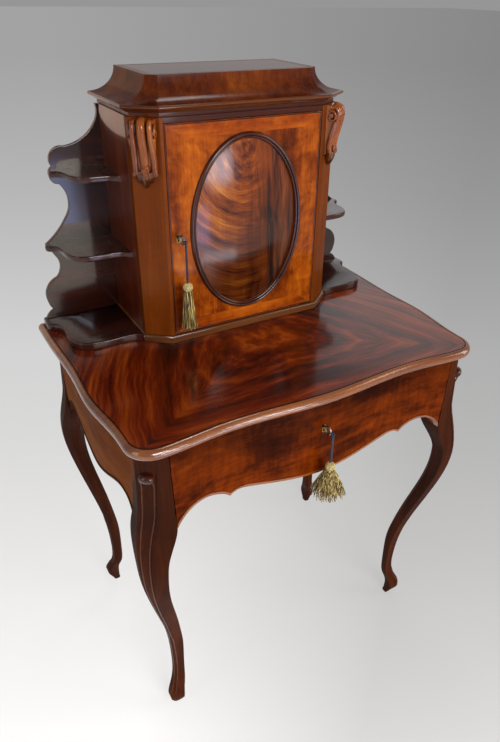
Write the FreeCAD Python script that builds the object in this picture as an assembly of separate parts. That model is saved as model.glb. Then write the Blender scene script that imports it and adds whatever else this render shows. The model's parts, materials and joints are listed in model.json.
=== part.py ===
"""Bonheur du jour: a lady's writing table with one shaped drawer, four cabriole legs and a cupboard
flanked by open shelves. Each piece of joinery, brass and silk is a solid of its own.

Units are millimetres, +Z is up and the front faces -Y. Pieces are drawn about the middle of the desk
top, and moved back by FORWARD_SHIFT when they are written, so that the whole stands over the origin.
"""
import FreeCAD, Part
from collections import namedtuple
import math
import os

Vector = FreeCAD.Vector

# ---------------------------------------------------------------- driving sizes: table
TOP_HALF_WIDTH = 365.0
TOP_HALF_DEPTH = 245.0
DESK_HEIGHT = 730.0
TOP_THICK = 18.0
EAR_RADIUS = 45.0            # the rounded front corners of the top
EAR_SIDE_WAIST = 14.0        # how far the front corners stand in from the back ones
FRONT_HOLLOW = 9.0           # depth of the serpentine's two hollows behind its bow
SIDE_BULGE = 12.0            # how far the side swells out behind the front corner
FRONT_WAVE_INSET = 165.0     # the hollows' deepest points inside the ends of the top
DRAWN_HALF_DEPTH = 245.0     # half depth for which the side waves are drawn
MOULDING_WIDTH = 10.0
QUIRK = 0.8                  # the fine V groove between moulding and veneered board
FRIEZE_SETBACK = 10.0        # drawer front behind the edge of the top
APRON_THICK = 18.0
FRIEZE_DEPTH = 152.0         # from the top's underside to the aprons' lower edge at their middle
ARCH_RISE = 34.0             # lower edge beside the legs, above the middle
CUSP_INSET = 180.0           # the drawer front's cusps inside the ends of the top
BEAD = 4.5                   # width of the bead along the aprons' lower edge
BEAD_PROUD = 1.5

# ---------------------------------------------------------------- driving sizes: legs
FRONT_FOOT_INSET = (78.0, 72.0)      # foot's middle inside the side and the front of the top
BACK_FOOT_INSET = (72.0, 46.0)
Station = namedtuple("Station", "height sideways to_front to_rear side cant ridge softening")
# Height, sweep sideways, sweep to the front, sweep to the rear, side of the section, width of the
# canted corner, height of the ridge on it, softening of the back corners
DRAWN_KNEE = 556.0           # the knee's height for which the sweep below is drawn
CABRIOLE = [
    Station(0.0, 8.0, 8.0, 12.0, 15.0, 3.0, 0.3, 0.2),
    Station(12.0, 14.0, 14.0, 17.0, 20.0, 4.0, 0.3, 0.2),
    Station(32.0, 21.5, 21.5, 23.0, 28.0, 6.0, 0.3, 0.2),
    Station(50.0, 17.0, 17.0, 17.0, 26.0, 6.0, 0.3, 0.2),
    Station(75.0, 6.5, 6.5, 6.0, 22.0, 5.0, 0.5, 0.2),
    Station(105.0, 3.5, 3.5, 2.2, 20.5, 5.0, 0.5, 0.2),
    Station(150.0, 4.5, 4.5, 2.8, 22.0, 5.0, 0.6, 0.2),
    Station(230.0, 14.0, 14.0, 8.8, 25.5, 6.0, 0.7, 0.22),
    Station(300.0, 30.5, 31.5, 19.8, 30.0, 8.0, 0.9, 0.28),
    Station(366.0, 47.5, 50.0, 31.5, 33.5, 11.0, 1.0, 0.3),
    Station(437.0, 62.5, 66.0, 41.5, 39.5, 16.0, 1.0, 0.3),
    Station(500.0, 67.0, 69.0, 43.5, 49.0, 21.0, 1.0, 0.28),
]
# The same from the knee up, each at its depth below the top's underside
LEG_BLOCK = [
    Station(156.0, 60.0, 63.0, 39.7, 61.0, 26.0, 1.0, 0.12),
    Station(134.0, 55.5, 62.0, 39.0, 55.7, 28.0, 1.0, 0.06),
    Station(112.0, 52.5, 61.0, 38.4, 51.8, 29.0, 1.0, 0.04),
    Station(62.0, 50.0, 61.0, 38.4, 47.4, 30.0, 1.0, 0.04),
    Station(0.0, 50.0, 61.0, 38.4, 45.0, 30.0, 0.4, 0.04),
]
BLOCK_DEPTH = 112.0          # the leg is straight between the aprons above this depth
KNEE_SCROLL_DEPTH = 44.0
KNEE_SCROLL_RADIUS = 7.5

# ---------------------------------------------------------------- driving sizes: drawer and rails
DRAWER_GAP = 1.2
DRAWER_FRONT_THICK = 27.0
RAIL_DEPTH = 46.0
RAIL_THICK = 16.0
BEARER_DEPTH = 96.0          # top of the bearer rail below the top's underside
BACK_RAIL_THICK = 20.0
BACK_RAIL_DEPTH = 122.0
DRAWER_SIDE_INSET = 85.5     # outside of the drawer's sides inside the ends of the top
DRAWER_SIDE_THICK = 9.0
DRAWER_HEADROOM = 17.5       # top of the drawer's sides below the top's underside
DRAWER_BACK_INSET = 55.0
DRAWER_BOARD = 5.0
BOTTOM_RISE = 7.0
GUIDE_GAP = 0.7
GUIDE_WIDTH = 12.0
GUIDE_HEIGHT = 16.0
TAIL_LENGTH = 12.0
TAIL_COUNT = 3

# ---------------------------------------------------------------- driving sizes: cupboard
SHELF_ROOM = 163.0           # from the cupboard's side to the end of the top
CANT_WIDTH = 42.0            # the canted corners, across the front and along the side
CANT_DEPTH = 30.0
CUPBOARD_DEPTH = 179.0       # from the front face to the back board
CUPBOARD_BACK_INSET = 17.0
SIDE_THICK = 14.0
BASE_THICK = 15.0
BASE_OVERHANG = 5.5
BASE_HOUSING = 0.5           # the base board is let into the top by this much
BACK_THICK = 10.0
FRIEZE_BOARD = 7.0
FRIEZE_INSET = 3.0
LIP_HEIGHT = 12.0
LIP_REACH = 13.0
COVE_HEIGHT = 39.0
TOTAL_HEIGHT = 1190.0
CROWN_INSET = 39.0           # the crown inside the cupboard's sides, and behind its face
CROWN_SETBACK = 32.0
CROWN_CANT_WIDTH = 17.0
CROWN_CANT_DEPTH = 13.0
CROWN_BOARD = 6.0
CROWN_MARGIN = 12.0
HEAD_RAIL_HEIGHT = 8.5
HEAD_RAIL_THICK = 19.0
POST_DEPTH = 23.0
INNER_SHELF_RISE = 199.0     # above the base board
INNER_SHELF_THICK = 9.0
INNER_SHELF_SETBACK = 55.0
HOUSING = 4.0

# ---------------------------------------------------------------- driving sizes: open shelves
SHELF_THICK = 11.0
SHELF_EASE = 3.0             # rounding of the shelves' edges
# reach of the rear ear from the cupboard's side, depth from the back board, depth of the ear
BASE_SHELF = (152.0, 140.0, 26.0)
MIDDLE_SHELF = (128.0, 101.0, 15.0)
UPPER_SHELF = (101.0, 76.0, 8.0)
SHELF_STEP = 17.0            # how far the shelf steps in at the front of its ear
SHELF_BEND = 42.0            # where its front begins to sweep back, inside the step
DRAWN_SHELF_TOPS = (745.0, 895.0, 1026.0, 1131.0)    # shelves and wing top for which the fret is drawn
DRAWN_WALL = 202.0           # cupboard's side for which the fret is drawn
DRAWN_REACH = 152.0          # base shelf's reach for which the fret is drawn

# ---------------------------------------------------------------- driving sizes: door
DOOR_INSET = 7.5             # the door's edge inside the canted corners
DOOR_THICK = 18.0
DOOR_GAP = 1.2
DOOR_CLEARANCE = 1.5
DOOR_SETBACK = 0.5
STILE_WIDTH = 36.0
DOOR_RAIL_WIDTH = 24.0
OVAL_LIFT = 1.75             # the oval's middle above the door's
OVAL_SIDE_MARGIN = 12.5      # wood between the oval and the frame
OVAL_END_MARGIN = 10.75
OVAL_DOME = 9.0
OVAL_PLATE = 6.0

# ---------------------------------------------------------------- driving sizes: brass and silk
PIVOT_INSET = 3.5            # the door turns on pins hidden in its top and bottom edges
PIVOT_SETBACK = 2.7
PIVOT_RADIUS = 1.5
PIVOT_CLEARANCE = 0.05
PIVOT_DEPTH = 7.0
PLATE_THICK = 2.0
PLATE_LENGTH = 24.0
PLATE_WIDTH = 8.5
PLATE_INSET = 0.5
SHANK_RADIUS = 2.0
SHANK_CLEARANCE = 0.06
BIT_REACH = 8.0
BIT_THICK = 2.0
BOW_RADIUS = 7.5
BOW_WIRE = 1.8
DOOR_BOW = 17.5              # bow's centre ahead of the face that the key enters
DRAWER_BOW = 12.5
LINING_RADIUS = 4.6
KEYHOLE_RADIUS = 3.4
KEYHOLE_SLOT = 3.2
KEYHOLE_DROP = 10.0
LOCK_WALL = 1.5
BOLT_TRAVEL = 6.0
BOLT_CLEARANCE = 0.3
TALON_CLEARANCE = 0.6
DOOR_KEY_INSET = 14.5
DOOR_KEY_RISE = 188.0        # above the door's lower edge
DOOR_LOCK_MARGIN = 2.5       # wood between the lock and the stile's inner edge
DOOR_LOCK_HALF_HEIGHT = 21.0
DOOR_LOCK_DEPTH = 10.0
DRAWER_KEY_X = -4.0
DRAWER_KEY_DEPTH = 52.0      # below the top's underside
DRAWER_LOCK_HALF_WIDTH = 26.0
DRAWER_LOCK_DEPTH = 9.0
LOOP_RADIUS = 2.9
CORD_WIRE = 0.9
KNOT_RADIUS = 3.2
KNOT_GAP = 0.3
CORD_RADIUS = 2.2
DOOR_CORD_LENGTH = 74.0
DRAWER_CORD_LENGTH = 60.0
TASSEL_HEAD = 9.0
DOOR_SKIRT = (9.5, 16.0, 76.0)      # top radius, bottom radius, length
DRAWER_SKIRT = (13.0, 35.0, 54.0)

# ---------------------------------------------------------------- worked-out sizes
TOP_UNDERSIDE = DESK_HEIGHT - TOP_THICK
FRONT_FOOT = (TOP_HALF_WIDTH - FRONT_FOOT_INSET[0], TOP_HALF_DEPTH - FRONT_FOOT_INSET[1])
BACK_FOOT = (TOP_HALF_WIDTH - BACK_FOOT_INSET[0], TOP_HALF_DEPTH - BACK_FOOT_INSET[1])
LEG_STRETCH = (TOP_UNDERSIDE - LEG_BLOCK[0].height) / DRAWN_KNEE
LEG_STATIONS = [station._replace(height=station.height * LEG_STRETCH) for station in CABRIOLE]
LEG_STATIONS += [station._replace(height=TOP_UNDERSIDE - station.height) for station in LEG_BLOCK]
BLOCK_BOTTOM = TOP_UNDERSIDE - BLOCK_DEPTH
APRON_MIDDLE_HEIGHT = TOP_UNDERSIDE - FRIEZE_DEPTH
CUSP_X = TOP_HALF_WIDTH - CUSP_INSET
FRONT_BACK_FACE = TOP_HALF_DEPTH - FRIEZE_SETBACK - DRAWER_FRONT_THICK
BEARER_TOP = TOP_UNDERSIDE - BEARER_DEPTH
DRAWER_SIDE_HALF = TOP_HALF_WIDTH - DRAWER_SIDE_INSET
DRAWER_SIDE_TOP = TOP_UNDERSIDE - DRAWER_HEADROOM
DRAWER_BACK = TOP_HALF_DEPTH - DRAWER_BACK_INSET
DRAWER_FRONT_TOP = TOP_UNDERSIDE - DRAWER_GAP
DRAWER_FACE = -TOP_HALF_DEPTH + FRIEZE_SETBACK
DRAWER_KEY_HEIGHT = TOP_UNDERSIDE - DRAWER_KEY_DEPTH
BASE_TOP = DESK_HEIGHT + BASE_THICK
LIP_TOP = TOTAL_HEIGHT - COVE_HEIGHT
FRIEZE_TOP = LIP_TOP - LIP_HEIGHT
CARCASE_TOP = FRIEZE_TOP - FRIEZE_BOARD
HEAD_RAIL_BOTTOM = CARCASE_TOP - HEAD_RAIL_HEIGHT
CUPBOARD_HALF_WIDTH = TOP_HALF_WIDTH - SHELF_ROOM
CUPBOARD_FACE_HALF = CUPBOARD_HALF_WIDTH - CANT_WIDTH
CUPBOARD_BACK = TOP_HALF_DEPTH - CUPBOARD_BACK_INSET
CUPBOARD_FACE = CUPBOARD_BACK - CUPBOARD_DEPTH
CANT_BACK = CUPBOARD_FACE + CANT_DEPTH
CROWN_HALF_WIDTH = CUPBOARD_HALF_WIDTH - CROWN_INSET
CROWN_FACE_HALF = CROWN_HALF_WIDTH - CROWN_CANT_WIDTH
CROWN_FACE = CUPBOARD_FACE + CROWN_SETBACK
CROWN_CANT_BACK = CROWN_FACE + CROWN_CANT_DEPTH
INNER_SHELF_TOP = BASE_TOP + INNER_SHELF_RISE
INNER_SHELF_FRONT = CUPBOARD_FACE + INNER_SHELF_SETBACK
SHELF_SPACING = (CARCASE_TOP - 1 - BASE_TOP) / (DRAWN_SHELF_TOPS[3] - DRAWN_SHELF_TOPS[0])
SHELF_TOPS = [BASE_TOP + (drawn - DRAWN_SHELF_TOPS[0]) * SHELF_SPACING for drawn in DRAWN_SHELF_TOPS]
DOOR_HALF_WIDTH = CUPBOARD_FACE_HALF - DOOR_INSET
DOOR_BOTTOM = BASE_TOP + DOOR_CLEARANCE
DOOR_TOP = HEAD_RAIL_BOTTOM - DOOR_CLEARANCE
DOOR_FACE = CUPBOARD_FACE + DOOR_SETBACK
POST_INNER = DOOR_HALF_WIDTH + DOOR_GAP
OVAL_CENTRE_HEIGHT = (DOOR_BOTTOM + DOOR_TOP) / 2 + OVAL_LIFT
OVAL_HALF_WIDTH = DOOR_HALF_WIDTH - STILE_WIDTH - OVAL_SIDE_MARGIN
OVAL_HALF_HEIGHT = (DOOR_TOP - DOOR_BOTTOM) / 2 - DOOR_RAIL_WIDTH - OVAL_END_MARGIN
PIVOT_X = DOOR_HALF_WIDTH - PIVOT_INSET
PIVOT_Y = DOOR_FACE + PIVOT_SETBACK
PLATE_X = (DOOR_HALF_WIDTH - PLATE_INSET - PLATE_LENGTH, DOOR_HALF_WIDTH - PLATE_INSET)
PLATE_Y = (DOOR_FACE, DOOR_FACE + PLATE_WIDTH)
DOOR_KEY_X = -DOOR_HALF_WIDTH + DOOR_KEY_INSET
DOOR_KEY_HEIGHT = DOOR_BOTTOM + DOOR_KEY_RISE
DOOR_LOCK_LENGTH = STILE_WIDTH - DOOR_LOCK_MARGIN
BOW_REACH = BOW_RADIUS + LOOP_RADIUS + CORD_WIRE
FORWARD_SHIFT = (-DRAWER_FACE + DRAWER_BOW + BOW_REACH - TOP_HALF_DEPTH) / 2
DOVETAIL_SLOPE = 0.18
DRAWER_KEYHOLE = (DRAWER_KEY_X, DRAWER_FACE, DRAWER_KEY_HEIGHT)
DOOR_KEYHOLE = (DOOR_KEY_X, DOOR_FACE, DOOR_KEY_HEIGHT)


# ---------------------------------------------------------------- general helpers
def line(start, end):
    return Part.LineSegment(Vector(*start), Vector(*end)).toShape()


def arc(start, middle, end):
    return Part.Arc(Vector(*start), Vector(*middle), Vector(*end)).toShape()


def spline(points, start_direction, end_direction, stations=None):
    """A smooth curve through points that leaves and arrives in the given directions.

    Curves that are to be skinned together share the same rising list of stations.
    """
    start, end = Vector(*start_direction), Vector(*end_direction)
    start.normalize()
    end.normalize()
    curve = Part.BSplineCurve()
    vectors = [Vector(*point) for point in points]
    if stations is None:
        curve.interpolate(Points=vectors, InitialTangent=start, FinalTangent=end, Scale=False)
    else:
        curve.interpolate(Points=vectors, Parameters=stations, InitialTangent=start,
                          FinalTangent=end, Scale=False)
    return curve.toShape()


def block(x_range, y_range, z_range):
    low = Vector(x_range[0], y_range[0], z_range[0])
    return Part.makeBox(x_range[1] - x_range[0], y_range[1] - y_range[0],
                        z_range[1] - z_range[0], low)


def prism(points, bottom, top):
    """Stand a closed polygon of (x, y) corners up between two heights."""
    corners = [Vector(x, y, bottom) for x, y in points]
    face = Part.Face(Part.makePolygon(corners + corners[:1]))
    return face.extrude(Vector(0, 0, top - bottom))


def extrude(edges, direction):
    return Part.Face(Part.Wire(edges)).extrude(Vector(*direction))


def other_side(shape):
    """The same piece on the other side of the middle."""
    return shape.mirror(Vector(0, 0, 0), Vector(1, 0, 0))


def both_sides(shape):
    return shape, other_side(shape)


def round_bar(centre, direction, radius, length):
    return Part.makeCylinder(radius, length, Vector(*centre), Vector(*direction))


def turned_forward(profile, centre):
    """Turn a closed (radius, distance behind centre) polygon about a line that runs to the back."""
    x, y, z = centre
    corners = [Vector(x + radius, y + back, z) for radius, back in profile]
    face = Part.Face(Part.makePolygon(corners + corners[:1]))
    return face.revolve(Vector(*centre), Vector(0, 1, 0), 360)


def write(node, shape):
    """Write one piece, as one clean solid or a group of them, in its final place."""
    solids = shape.Solids
    piece = solids[0] if len(solids) == 1 else Part.makeCompound(solids)
    piece = piece.copy()
    piece.translate(Vector(0, FORWARD_SHIFT, 0))
    piece.exportStep("parts/" + node + ".step")


# ---------------------------------------------------------------- the top's serpentine outline
EAR_CENTRE_X = TOP_HALF_WIDTH - EAR_SIDE_WAIST - EAR_RADIUS
EAR_CENTRE_Y = -TOP_HALF_DEPTH + 0.5 + EAR_RADIUS
DEPTH_STRETCH = TOP_HALF_DEPTH / DRAWN_HALF_DEPTH
SIDE_WAVE = [                # distance back, distance inside the widest part
    (EAR_CENTRE_Y, EAR_SIDE_WAIST),
    (-158.0 * DEPTH_STRETCH, EAR_SIDE_WAIST - 1.5),
    (-70.0 * DEPTH_STRETCH, EAR_SIDE_WAIST - SIDE_BULGE),
    (20.0 * DEPTH_STRETCH, 4.0),
    (190.0 * DEPTH_STRETCH, 0.0),
]
APRON_WAVE = [
    (EAR_CENTRE_Y, 28.0),
    (-150.0 * DEPTH_STRETCH, 25.0),
    (-70.0 * DEPTH_STRETCH, 16.5),
    (20.0 * DEPTH_STRETCH, 18.0),
    (110.0 * DEPTH_STRETCH, 20.0),
    (194.0 * DEPTH_STRETCH, 22.0),
]
FRONT_WAVE = [               # distance from the middle, distance behind the bow
    (EAR_CENTRE_X, 0.5),
    (TOP_HALF_WIDTH - FRONT_WAVE_INSET, FRONT_HOLLOW),
    (0.0, 0.0),
    (-TOP_HALF_WIDTH + FRONT_WAVE_INSET, FRONT_HOLLOW),
    (-EAR_CENTRE_X, 0.5),
]


def front_curve(inset, height):
    points = [(x, -TOP_HALF_DEPTH + back + inset, height) for x, back in FRONT_WAVE]
    stations = [EAR_CENTRE_X - x for x, _ in FRONT_WAVE]
    return spline(points, (-1, 0, 0), (-1, 0, 0), stations)


def side_curve(wave, inset, height, side):
    """A side's serpentine, drawn to the front on the right (side 1) and to the back on the left."""
    ordered = list(reversed(wave)) if side > 0 else wave
    points = [(side * (TOP_HALF_WIDTH - narrow - inset), y, height) for y, narrow in ordered]
    stations = [abs(y - ordered[0][0]) for y, _ in ordered]
    direction = (0, -side, 0)
    return spline(points, direction, direction, stations)


def top_outline(inset, height):
    """The top's outline, drawn in by inset along its front and sides but not along its back."""
    radius = EAR_RADIUS - inset
    reach = radius * math.sqrt(0.5)
    back_x = TOP_HALF_WIDTH - inset
    side_end = SIDE_WAVE[-1][0]

    def ear(side):
        ends = [(side * (EAR_CENTRE_X + radius), EAR_CENTRE_Y, height),
                (side * (EAR_CENTRE_X + reach), EAR_CENTRE_Y - reach, height),
                (side * EAR_CENTRE_X, EAR_CENTRE_Y - radius, height)]
        return arc(*ends) if side > 0 else arc(*reversed(ends))

    return Part.Wire([
        side_curve(SIDE_WAVE, inset, height, 1),
        ear(1),
        front_curve(inset, height),
        ear(-1),
        side_curve(SIDE_WAVE, inset, height, -1),
        line((-back_x, side_end, height), (-back_x, TOP_HALF_DEPTH, height)),
        line((-back_x, TOP_HALF_DEPTH, height), (back_x, TOP_HALF_DEPTH, height)),
        line((back_x, TOP_HALF_DEPTH, height), (back_x, side_end, height)),
    ])


def outline_loft(sections, ruled=True):
    """Skin the top's outline through (height, inset) sections."""
    return Part.makeLoft([top_outline(inset, height) for height, inset in sections], True, ruled)


# ---------------------------------------------------------------- table top
BOLT_HALF_WIDTH = 4.5
BOLT_Y = -FRONT_BACK_FACE - 2.0
BOLT_THICK = 3.0


def base_housing():
    """Shallow bed in the top that the base board is let into, run out through the back."""
    low, high = DESK_HEIGHT - BASE_HOUSING, DESK_HEIGHT + 1
    plinth = prism(cupboard_outline(BASE_OVERHANG), low, high)
    back = CUPBOARD_BACK + BACK_THICK
    wires = [shelf_wire(BASE_SHELF, height, 0.0, back) for height in (low, high)]
    right_bed = Part.makeLoft(wires, True, True)
    rear = block((-TOP_HALF_WIDTH, TOP_HALF_WIDTH), (back - 1, TOP_HALF_DEPTH + 1), (low, high))
    return plinth.fuse([right_bed, other_side(right_bed), rear])


def desk_top():
    quirk_bottom = DESK_HEIGHT - QUIRK
    board = outline_loft([(TOP_UNDERSIDE, MOULDING_WIDTH), (quirk_bottom, MOULDING_WIDTH)])
    crest = outline_loft([(quirk_bottom, MOULDING_WIDTH), (DESK_HEIGHT, MOULDING_WIDTH + QUIRK)])
    mortise = block((DRAWER_KEY_X - BOLT_HALF_WIDTH - 1, DRAWER_KEY_X + BOLT_HALF_WIDTH + 1),
                    (BOLT_Y - BOLT_THICK - 1, BOLT_Y + 1),
                    (TOP_UNDERSIDE, TOP_UNDERSIDE + BOLT_TRAVEL + 1))
    return board.fuse(crest).cut([mortise, base_housing()])


def top_edge_moulding():
    """The rounded lipping, in three lengths that meet in mitres at the front corners."""
    profile = [(0.0, 5.5), (2.0, 2.2), (5.5, 0.3), (9.0, 0.0), (13.0, 1.2), (16.5, 4.2), (18.0, 8.0)]
    sections = [(TOP_UNDERSIDE + rise, inset) for rise, inset in profile]
    core = outline_loft([(TOP_UNDERSIDE - 1, MOULDING_WIDTH), (DESK_HEIGHT + 1, MOULDING_WIDTH)])
    quirk = outline_loft([(DESK_HEIGHT - QUIRK, MOULDING_WIDTH), (DESK_HEIGHT + QUIRK,
                                                                  MOULDING_WIDTH - 2 * QUIRK)])
    ring = outline_loft(sections, ruled=False).cut(core).cut(quirk)
    reach = 2 * EAR_RADIUS
    wedge = prism([(EAR_CENTRE_X, EAR_CENTRE_Y), (EAR_CENTRE_X + reach, EAR_CENTRE_Y - reach),
                   (-EAR_CENTRE_X - reach, EAR_CENTRE_Y - reach), (-EAR_CENTRE_X, EAR_CENTRE_Y)],
                  TOP_UNDERSIDE - 1, DESK_HEIGHT + 1)
    front = ring.common(wedge)
    sides = ring.cut(wedge)
    return Part.makeCompound(front.Solids + sides.Solids)


# ---------------------------------------------------------------- cabriole legs
FRONT_SWEEP, REAR_SWEEP = "to_front", "to_rear"      # a leg station's two sweeps


def leg_corner(foot, sweep, station):
    """The corner that the leg's outer faces would make if they were not canted."""
    return foot[0] + station.sideways, foot[1] + getattr(station, sweep)


def leg_section(foot, sweep, station):
    """The leg's section at one height: square, its outer corner canted and ridged."""
    side, cant = station.side, station.cant
    x, y = leg_corner(foot, sweep, station)
    middle = Vector(x - cant / 2, y - cant / 2, 0)
    along = Vector(math.sqrt(0.5), -math.sqrt(0.5), 0)
    outward = Vector(math.sqrt(0.5), math.sqrt(0.5), 0)
    half = cant * math.sqrt(0.5) / 2
    quirk = half * 1.15
    proud = 0.1 * cant * station.ridge
    soft = station.softening * side
    corners = [
        Vector(x - side, y, 0),
        Vector(x - cant, y, 0),
        middle - along * quirk,
        middle - along * half + outward * proud,
        middle + along * half + outward * proud,
        middle + along * quirk,
        Vector(x, y - cant, 0),
        Vector(x, y - side + soft, 0),
        Vector(x - soft, y - side, 0),
        Vector(x - side + soft, y - side, 0),
        Vector(x - side, y - side + soft, 0),
    ]
    for corner in corners:
        corner.z = station.height
    return Part.makePolygon(corners + corners[:1])


def knee_scroll(foot, sweep):
    """The small roll carved across the top of the knee's ridge."""
    station = LEG_STATIONS[-2]
    cant = station.cant
    x, y = leg_corner(foot, sweep, station)
    half = cant * math.sqrt(0.5) / 2
    shift = half * math.sqrt(0.5)
    start = (x - cant / 2 - shift, y - cant / 2 + shift, TOP_UNDERSIDE - KNEE_SCROLL_DEPTH)
    return round_bar(start, (1, -1, 0), KNEE_SCROLL_RADIUS, 2 * half)


def leg(foot, sweep):
    """The right-hand leg of a pair; a front leg is drawn facing back and then turned about."""
    cabriole = [station for station in LEG_STATIONS if station.height <= BLOCK_BOTTOM]
    post = [station for station in LEG_STATIONS if station.height >= BLOCK_BOTTOM]
    curved = Part.makeLoft([leg_section(foot, sweep, station) for station in cabriole], True, False)
    straight = Part.makeLoft([leg_section(foot, sweep, station) for station in post], True, True)
    shape = curved.fuse([straight, knee_scroll(foot, sweep)])
    if sweep == FRONT_SWEEP:
        shape = shape.mirror(Vector(0, 0, 0), Vector(0, 1, 0))
    return shape


# ---------------------------------------------------------------- aprons and their beads
KNEE = LEG_STATIONS[len(CABRIOLE)]   # where the aprons' lower edge runs into the legs
KNEE_INNER_X = leg_corner(FRONT_FOOT, FRONT_SWEEP, KNEE)[0] - KNEE.side
KNEE_INNER_Y = leg_corner(FRONT_FOOT, FRONT_SWEEP, KNEE)[1] - KNEE.side
BACK_KNEE_INNER_Y = leg_corner(BACK_FOOT, REAR_SWEEP, KNEE)[1] - KNEE.side
SIDE_MIDDLE = (BACK_KNEE_INNER_Y - KNEE_INNER_Y) / 2
SIDE_HALF_SPAN = (BACK_KNEE_INNER_Y + KNEE_INNER_Y) / 2


def side_edge():
    """Lower edge of a side apron, as one curve from the front leg to the back leg."""
    low = APRON_MIDDLE_HEIGHT
    end = KNEE.height
    half = [(0.0, low), (0.35, low + 0.38 * ARCH_RISE), (0.61, low + 0.85 * ARCH_RISE),
            (0.79, low + ARCH_RISE), (0.92, low + 0.7 * ARCH_RISE), (1.0, end)]
    ahead = [(SIDE_MIDDLE - share * SIDE_HALF_SPAN, z) for share, z in reversed(half)]
    behind = [(SIDE_MIDDLE + share * SIDE_HALF_SPAN, z) for share, z in half[1:]]
    points = [(0, y, z) for y, z in ahead + behind]
    return spline(points, (0, 0.45, 1), (0, 0.45, -1))


def front_edges():
    """Lower edge of the drawer front: a bow between two cusps, and an arch beyond each."""
    low = APRON_MIDDLE_HEIGHT
    end_x = KNEE_INNER_X - DRAWER_GAP
    span = end_x - CUSP_X
    cusp = (CUSP_X, 0, low + 0.42 * ARCH_RISE)
    bow_half = [(0.38 * CUSP_X, 0, low + 0.15 * ARCH_RISE), (0.8 * CUSP_X, 0, low + 0.59 * ARCH_RISE),
                (0.91 * CUSP_X, 0, low + 0.65 * ARCH_RISE), cusp]
    mirrored = [(-x, y, z) for x, y, z in reversed(bow_half)]
    bow = spline(mirrored + [(0, 0, low)] + bow_half, (1, 0, 0.9), (1, 0, -0.9))
    arch_points = [cusp, (CUSP_X + 0.2 * span, 0, low + 0.82 * ARCH_RISE),
                   (CUSP_X + 0.43 * span, 0, low + ARCH_RISE * 0.98),
                   (CUSP_X + 0.66 * span, 0, low + 0.86 * ARCH_RISE),
                   (CUSP_X + 0.86 * span, 0, low + 0.45 * ARCH_RISE),
                   (end_x, 0, KNEE.height)]
    right = spline(arch_points, (0.8, 0, 1), (0.5, 0, -1))
    left = spline([(-x, y, z) for x, y, z in reversed(arch_points)], (0.5, 0, 1), (0.8, 0, -1))
    return left, bow, right


def bead_band(edge, width, direction):
    """A strip of even width above a lower edge, extruded in the given direction."""
    count = 12
    first, last = edge.ParameterRange
    inner = []
    view = Vector(*direction)
    view.normalize()
    for step in range(count + 1):
        at = first + (last - first) * step / count
        tangent = edge.tangentAt(at)
        normal = tangent.cross(view)
        if normal.z < 0:
            normal = normal * -1
        inner.append(edge.valueAt(at) + normal * width)
    curve = Part.BSplineCurve()
    curve.interpolate(inner)
    start, end = edge.valueAt(first), edge.valueAt(last)
    edges = [edge, Part.LineSegment(end, inner[-1]).toShape(), curve.toShape(),
             Part.LineSegment(inner[0], start).toShape()]
    wire = Part.Wire(Part.__sortEdges__(edges))
    return Part.Face(wire).extrude(Vector(*direction))


def side_band(inset, thickness):
    """A wall that follows the side apron's face, from inset to inset plus thickness."""
    height = APRON_MIDDLE_HEIGHT - 30
    outer = side_curve(APRON_WAVE, inset, height, 1)
    inner = side_curve(APRON_WAVE, inset + thickness, height, 1)
    ends = [edge.valueAt(edge.LastParameter) for edge in (outer, inner)]
    starts = [edge.valueAt(edge.FirstParameter) for edge in (outer, inner)]
    wall = Part.Wire(Part.__sortEdges__([
        outer, Part.LineSegment(ends[0], ends[1]).toShape(), inner,
        Part.LineSegment(starts[1], starts[0]).toShape()]))
    return Part.Face(wall).extrude(Vector(0, 0, TOP_UNDERSIDE - height))


def side_elevation():
    """Everything above the side's lower edge, seen from the side."""
    edge = side_edge()
    start, end = edge.valueAt(edge.FirstParameter), edge.valueAt(edge.LastParameter)
    top = TOP_UNDERSIDE
    reach = 30
    outline = [edge,
               line((0, end.y, end.z), (0, end.y + reach, end.z)),
               line((0, end.y + reach, end.z), (0, end.y + reach, top)),
               line((0, end.y + reach, top), (0, start.y - reach, top)),
               line((0, start.y - reach, top), (0, start.y - reach, start.z)),
               line((0, start.y - reach, start.z), (0, start.y, start.z))]
    return extrude(outline, (TOP_HALF_WIDTH, 0, 0))


def side_apron_and_bead(legs):
    """The right-hand apron, fitted to its two legs, and the bead planted along its lower edge."""
    elevation = side_elevation()
    strip = bead_band(side_edge(), BEAD, (TOP_HALF_WIDTH, 0, 0))
    bead = side_band(-BEAD_PROUD, 3 * BEAD).common(strip)
    apron = side_band(0, APRON_THICK).common(elevation)
    for post in legs:
        apron = apron.cut(post)
        bead = bead.cut(post)
    return largest(apron.cut(bead)), largest(bead)


def largest(shape):
    return max(shape.Solids, key=lambda solid: solid.Volume)


# ---------------------------------------------------------------- table rails
def carcase_inside(bottom, top):
    """The room between the side aprons."""
    front, back = -FRONT_BACK_FACE, TOP_HALF_DEPTH
    right = side_curve(APRON_WAVE, APRON_THICK, bottom, 1)
    left = side_curve(APRON_WAVE, APRON_THICK, bottom, -1)
    right_back, right_front = right.valueAt(right.FirstParameter), right.valueAt(right.LastParameter)
    left_front, left_back = left.valueAt(left.FirstParameter), left.valueAt(left.LastParameter)
    edges = [right,
             line(tuple(right_front), (right_front.x, front, bottom)),
             line((right_front.x, front, bottom), (left_front.x, front, bottom)),
             line((left_front.x, front, bottom), tuple(left_front)),
             left,
             line(tuple(left_back), (left_back.x, back, bottom)),
             line((left_back.x, back, bottom), (right_back.x, back, bottom)),
             line((right_back.x, back, bottom), tuple(right_back))]
    return extrude(edges, (0, 0, top - bottom))


def fitted(shape, legs):
    """A rail cut to meet the legs that hold it."""
    for post in legs:
        shape = shape.cut(post)
    return largest(shape)


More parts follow.
